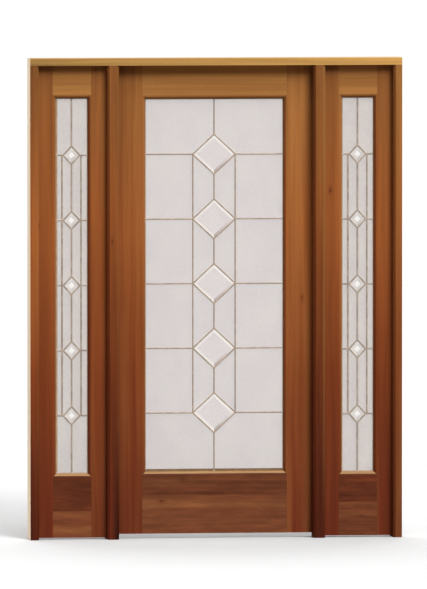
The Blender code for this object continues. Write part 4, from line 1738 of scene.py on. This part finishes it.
    def build(self) -> None:
        """Makes both leaves and their screws."""
        low, high = self.ends
        step = (high - low) / self.knuckles
        for body, sign, first, bore in (
            (Body.FRAME, -1, 0, self.pin - self.pin_press), (Body.DOOR, 1, 1, self.pin + self.play)
        ):
            parts = [self.plate(sign)]
            for number in range(first, self.knuckles, 2):
                start = low + number * step + self.gap / 2
                end = low + (number + 1) * step - self.gap / 2
                parts += [self.knuckle(start, end, bore), self.tab(sign, start, end)]
            if body is Body.FRAME:
                parts.append(self.pin_shape())
            name = f"{self.place}_hinge_{body.value}"
            brass = mesh_object(f"{name}_brass", join_parts(parts))
            settle(brass, body, "hinge", self.finishes.brass, f"{name}_leaf")
            heads = mesh_object(f"{name}_screws", self.screws(sign), math.radians(50))
            settle(heads, body, "hinge", self.finishes.steel, f"{name}_leaf")


@dataclass(frozen=True)
class Sun:
    """A broad distant light: its irradiance, where it stands in degrees, and its angular size.

    The side is measured to the right of the view from outside, and the height above level.
    """

    name: str
    strength: float
    side: float
    height: float
    spread: float

    def build(self) -> None:
        """Adds the light."""
        light = bpy.data.lights.new(self.name, "SUN")
        light.energy = self.strength
        light.angle = math.radians(self.spread)
        obj = bpy.data.objects.new(self.name, light)
        obj.rotation_euler = (math.radians(90 - self.height), 0.0, math.radians(self.side))
        bpy.context.scene.collection.objects.link(obj)


SUNS = (
    Sun("key", 2.52, 16.0, 34.0, 24.0),
    Sun("top light", 1.9, 10.0, 63.0, 40.0),
    Sun("left rim light", 3.2, -100.0, 2.0, 15.0),
    Sun("rear light", 2.0, 180.0, 58.0, 40.0),
)


@dataclass
class Studio:
    """A pale floor, soft light and a camera a little to the left of the unit."""

    azimuth: float = -7.2
    elevation: float = 2.8
    distance: float = 50.0
    metres_high: float = 2.541
    aim_x: float = -0.0055
    aim_z: float = 0.0149
    floor_size: float = 200.0
    sensor: float = 36.0
    pale: tuple[Colour, Colour] = ((0.505, 0.505, 0.505), (0.525, 0.525, 0.525))
    bounce: Colour = (0.22, 0.183, 0.147)
    mirrored: Colour = (0.088, 0.073, 0.059)
    through_glass: Colour = (0.55, 0.55, 0.55)
    backdrop: float = 1.02
    glass_backdrop: float = 1.05
    sky: tuple[float, float] = (0.08, 0.75)
    rear_sky: float = 0.36

    def floor(self, level: float) -> None:
        """A wide pale floor under the feet.

        Args:
            level: its height.
        """
        half = self.floor_size / 2
        mesh = bpy.data.meshes.new("studio_floor")
        corners = [(x, y, level) for x, y in ((-half, -half), (half, -half), (half, half), (-half, half))]
        mesh.from_pydata(corners, [], [(0, 1, 2, 3)])
        obj = bpy.data.objects.new("studio_floor", mesh)
        bpy.context.scene.collection.objects.link(obj)
        material, tree, shader = new_material("pale floor")
        path = tree.add("ShaderNodeLightPath").outputs
        seen = tree.mix(tree.noise(tree.place(), 2.0, 0.5, 0.7), *self.pale)
        colour = tree.mix(path["Is Camera Ray"], self.bounce, seen)
        colour = tree.mix(path["Is Glossy Ray"], colour, self.mirrored)
        colour = tree.mix(path["Is Transmission Ray"], colour, self.through_glass)
        tree.put(shader.inputs["Base Color"], colour)
        shader.inputs["Roughness"].default_value = 1.0
        shader.inputs["Specular IOR Level"].default_value = 0.0
        mesh.materials.append(material)

    def world(self) -> None:
        """A white backdrop for the eye and the glass, and a light that is stronger from above."""
        world = bpy.data.worlds.new("studio")
        bpy.context.scene.world = world
        world.use_nodes = True
        tree = Tree(world.node_tree)
        background = world.node_tree.nodes["Background"]
        _, away, up = tree.split(tree.add("ShaderNodeTexCoord").outputs["Generated"])
        glow = tree.blend(tree.remap(away, -0.15, 0.15), tree.remap(up, 0.1, 1.0, *self.sky), self.rear_sky)
        path = tree.add("ShaderNodeLightPath").outputs
        seen = tree.blend(path["Is Camera Ray"], glow, self.backdrop)
        background.inputs["Color"].default_value = (1.0, 1.0, 1.0, 1.0)
        strength = tree.blend(path["Is Transmission Ray"], seen, self.glass_backdrop)
        tree.put(background.inputs["Strength"], strength)

    def camera(self, centre: Array) -> None:
        """A long lens at the photograph's viewing angle, aimed near the middle of the unit.

        Args:
            centre: the middle of the unit.
        """
        data = bpy.data.cameras.new("camera")
        data.sensor_width = self.sensor
        data.lens = self.sensor * self.distance / self.metres_high
        data.clip_end = 500.0
        camera = bpy.data.objects.new("camera", data)
        a, e = math.radians(self.azimuth), math.radians(self.elevation)
        back = np.array([math.sin(a) * math.cos(e), -math.cos(a) * math.cos(e), math.sin(e)])
        target = centre + np.array([self.aim_x, 0.0, self.aim_z])
        camera.location = tuple(target + back * self.distance)
        camera.rotation_euler = (math.radians(90 - self.elevation), 0.0, math.radians(self.azimuth))
        bpy.context.scene.collection.objects.link(camera)
        bpy.context.scene.camera = camera

    def build(self, feet: float, centre: Array) -> None:
        """Sets up the whole studio.

        Args:
            feet: the floor's level.
            centre: the middle of the unit.
        """
        bpy.context.scene.view_settings.view_transform = "Standard"
        self.floor(feet)
        self.world()
        for sun in SUNS:
            sun.build()
        self.camera(centre)


def build_sashes(finishes: Finishes, hinges: list[ButtHinge]) -> list[Sight]:
    """Makes the door leaf and the two sidelights, timber only.

    Args:
        finishes: the materials.
        hinges: the hinges that the leaf's stile is cut for.
    Returns:
        The glass openings of the door, the left and the right sidelight.
    """
    door = Sash("door", Body.DOOR, finishes, 101, {
        "left_stile": Tone(-0.04, 0.02), "right_stile": Tone(0.07, 0.09, 0.0, -0.06),
        "top_rail": Tone(0.18, 0.20), "bottom_rail": Tone(-0.20, 0.0, brown=0.5, figure=0.34),
    }, -1.889, Tone(0.06, 0.0, brown=0.55, figure=0.26), tuple(hinge.pocket(1) for hinge in hinges))
    left = Sash("left_sidelight", Body.FRAME, finishes, 211, {
        "left_stile": Tone(-0.02, 0.0), "right_stile": Tone(0.0, 0.02),
        "top_rail": Tone(0.10, 0.18), "bottom_rail": Tone(-0.28, -0.08, brown=0.25, figure=0.40),
    }, -1.954, Tone(0.22, 0.04, brown=0.45, figure=0.30))
    right = Sash("right_sidelight", Body.FRAME, finishes, 317, {
        "left_stile": Tone(-0.04, 0.0), "right_stile": Tone(-0.02, 0.0),
        "top_rail": Tone(0.08, 0.16), "bottom_rail": Tone(-0.28, -0.08, brown=0.25, figure=0.40),
    }, -1.923, Tone(-0.10, 0.0, brown=0.45, figure=0.30))
    return [sash.build() for sash in (door, left, right)]


def build_panels(finishes: Finishes, door_sight: Sight, left_sight: Sight, right_sight: Sight) -> None:
    """Makes the leaded panels of the door and the sidelights.

    Args:
        finishes: the materials.
        door_sight, left_sight, right_sight: their glass openings.
    """
    LeadedPanel(
        "door", Body.DOOR, door_sight, finishes, finishes.came, finishes.obscure, finishes.bevelled,
        pitch=0.2792, lift=0.006, diamond_width=0.1844, diamond_height=0.171, line=0.0922,
        # The door's sill bedding line is wide and dark: compound that also stands in for the shade at the
        # foot of the glass, as painted shade.
        bevel=0.0095, rise=0.0012, came_width=CAME.width, sill_compound=finishes.stained_compound,
        bedding={Place.LEFT: 0.0045, Place.RIGHT: 0.0034, Place.TOP: 0.0034, Place.BOTTOM: 0.0105},
        gleams=DIAMOND_PAINTED_GLEAMS, centre_gleam=0.0, seed=401,
    ).build("door_cames", lambda part: f"door_glass_{part}")
    for name, sight, left_bedding, seed in (
        ("left_sidelight", left_sight, 0.0085, 431), ("right_sidelight", right_sight, 0.0055, 461)
    ):
        node = f"{name}_leaded_panel"
        LeadedPanel(
            name, Body.FRAME, sight, finishes, finishes.side_came, finishes.side_obscure, finishes.jewel,
            pitch=0.2808, lift=0.0025, diamond_width=0.0715, diamond_height=0.077, line=0.0412, bevel=0.013,
            rise=0.0013, came_width=0.0072, sill_compound=finishes.compound,
            bedding={Place.LEFT: left_bedding, Place.RIGHT: 0.0034, Place.TOP: 0.0034, Place.BOTTOM: 0.0034},
            gleams=JEWEL_PAINTED_GLEAMS, centre_gleam=1.0, seed=seed,
        ).build(node, lambda part, node=node: node)


def main() -> None:
    """Builds the unit piece by piece."""
    logging.basicConfig(level=logging.INFO, format="%(name)s %(message)s")
    finishes = Finishes()
    hinges = [ButtHinge(place, finishes) for place in ("top", "middle", "bottom")]
    timber = TimberFrame(finishes, tuple(hinge.pocket(-1) for hinge in hinges))
    timber.build()
    build_panels(finishes, *build_sashes(finishes, hinges))
    for hinge in hinges:
        hinge.build()
    Studio().build(timber.feet, BOUNDS.mean(0))


if __name__ == "__main__":
    main()
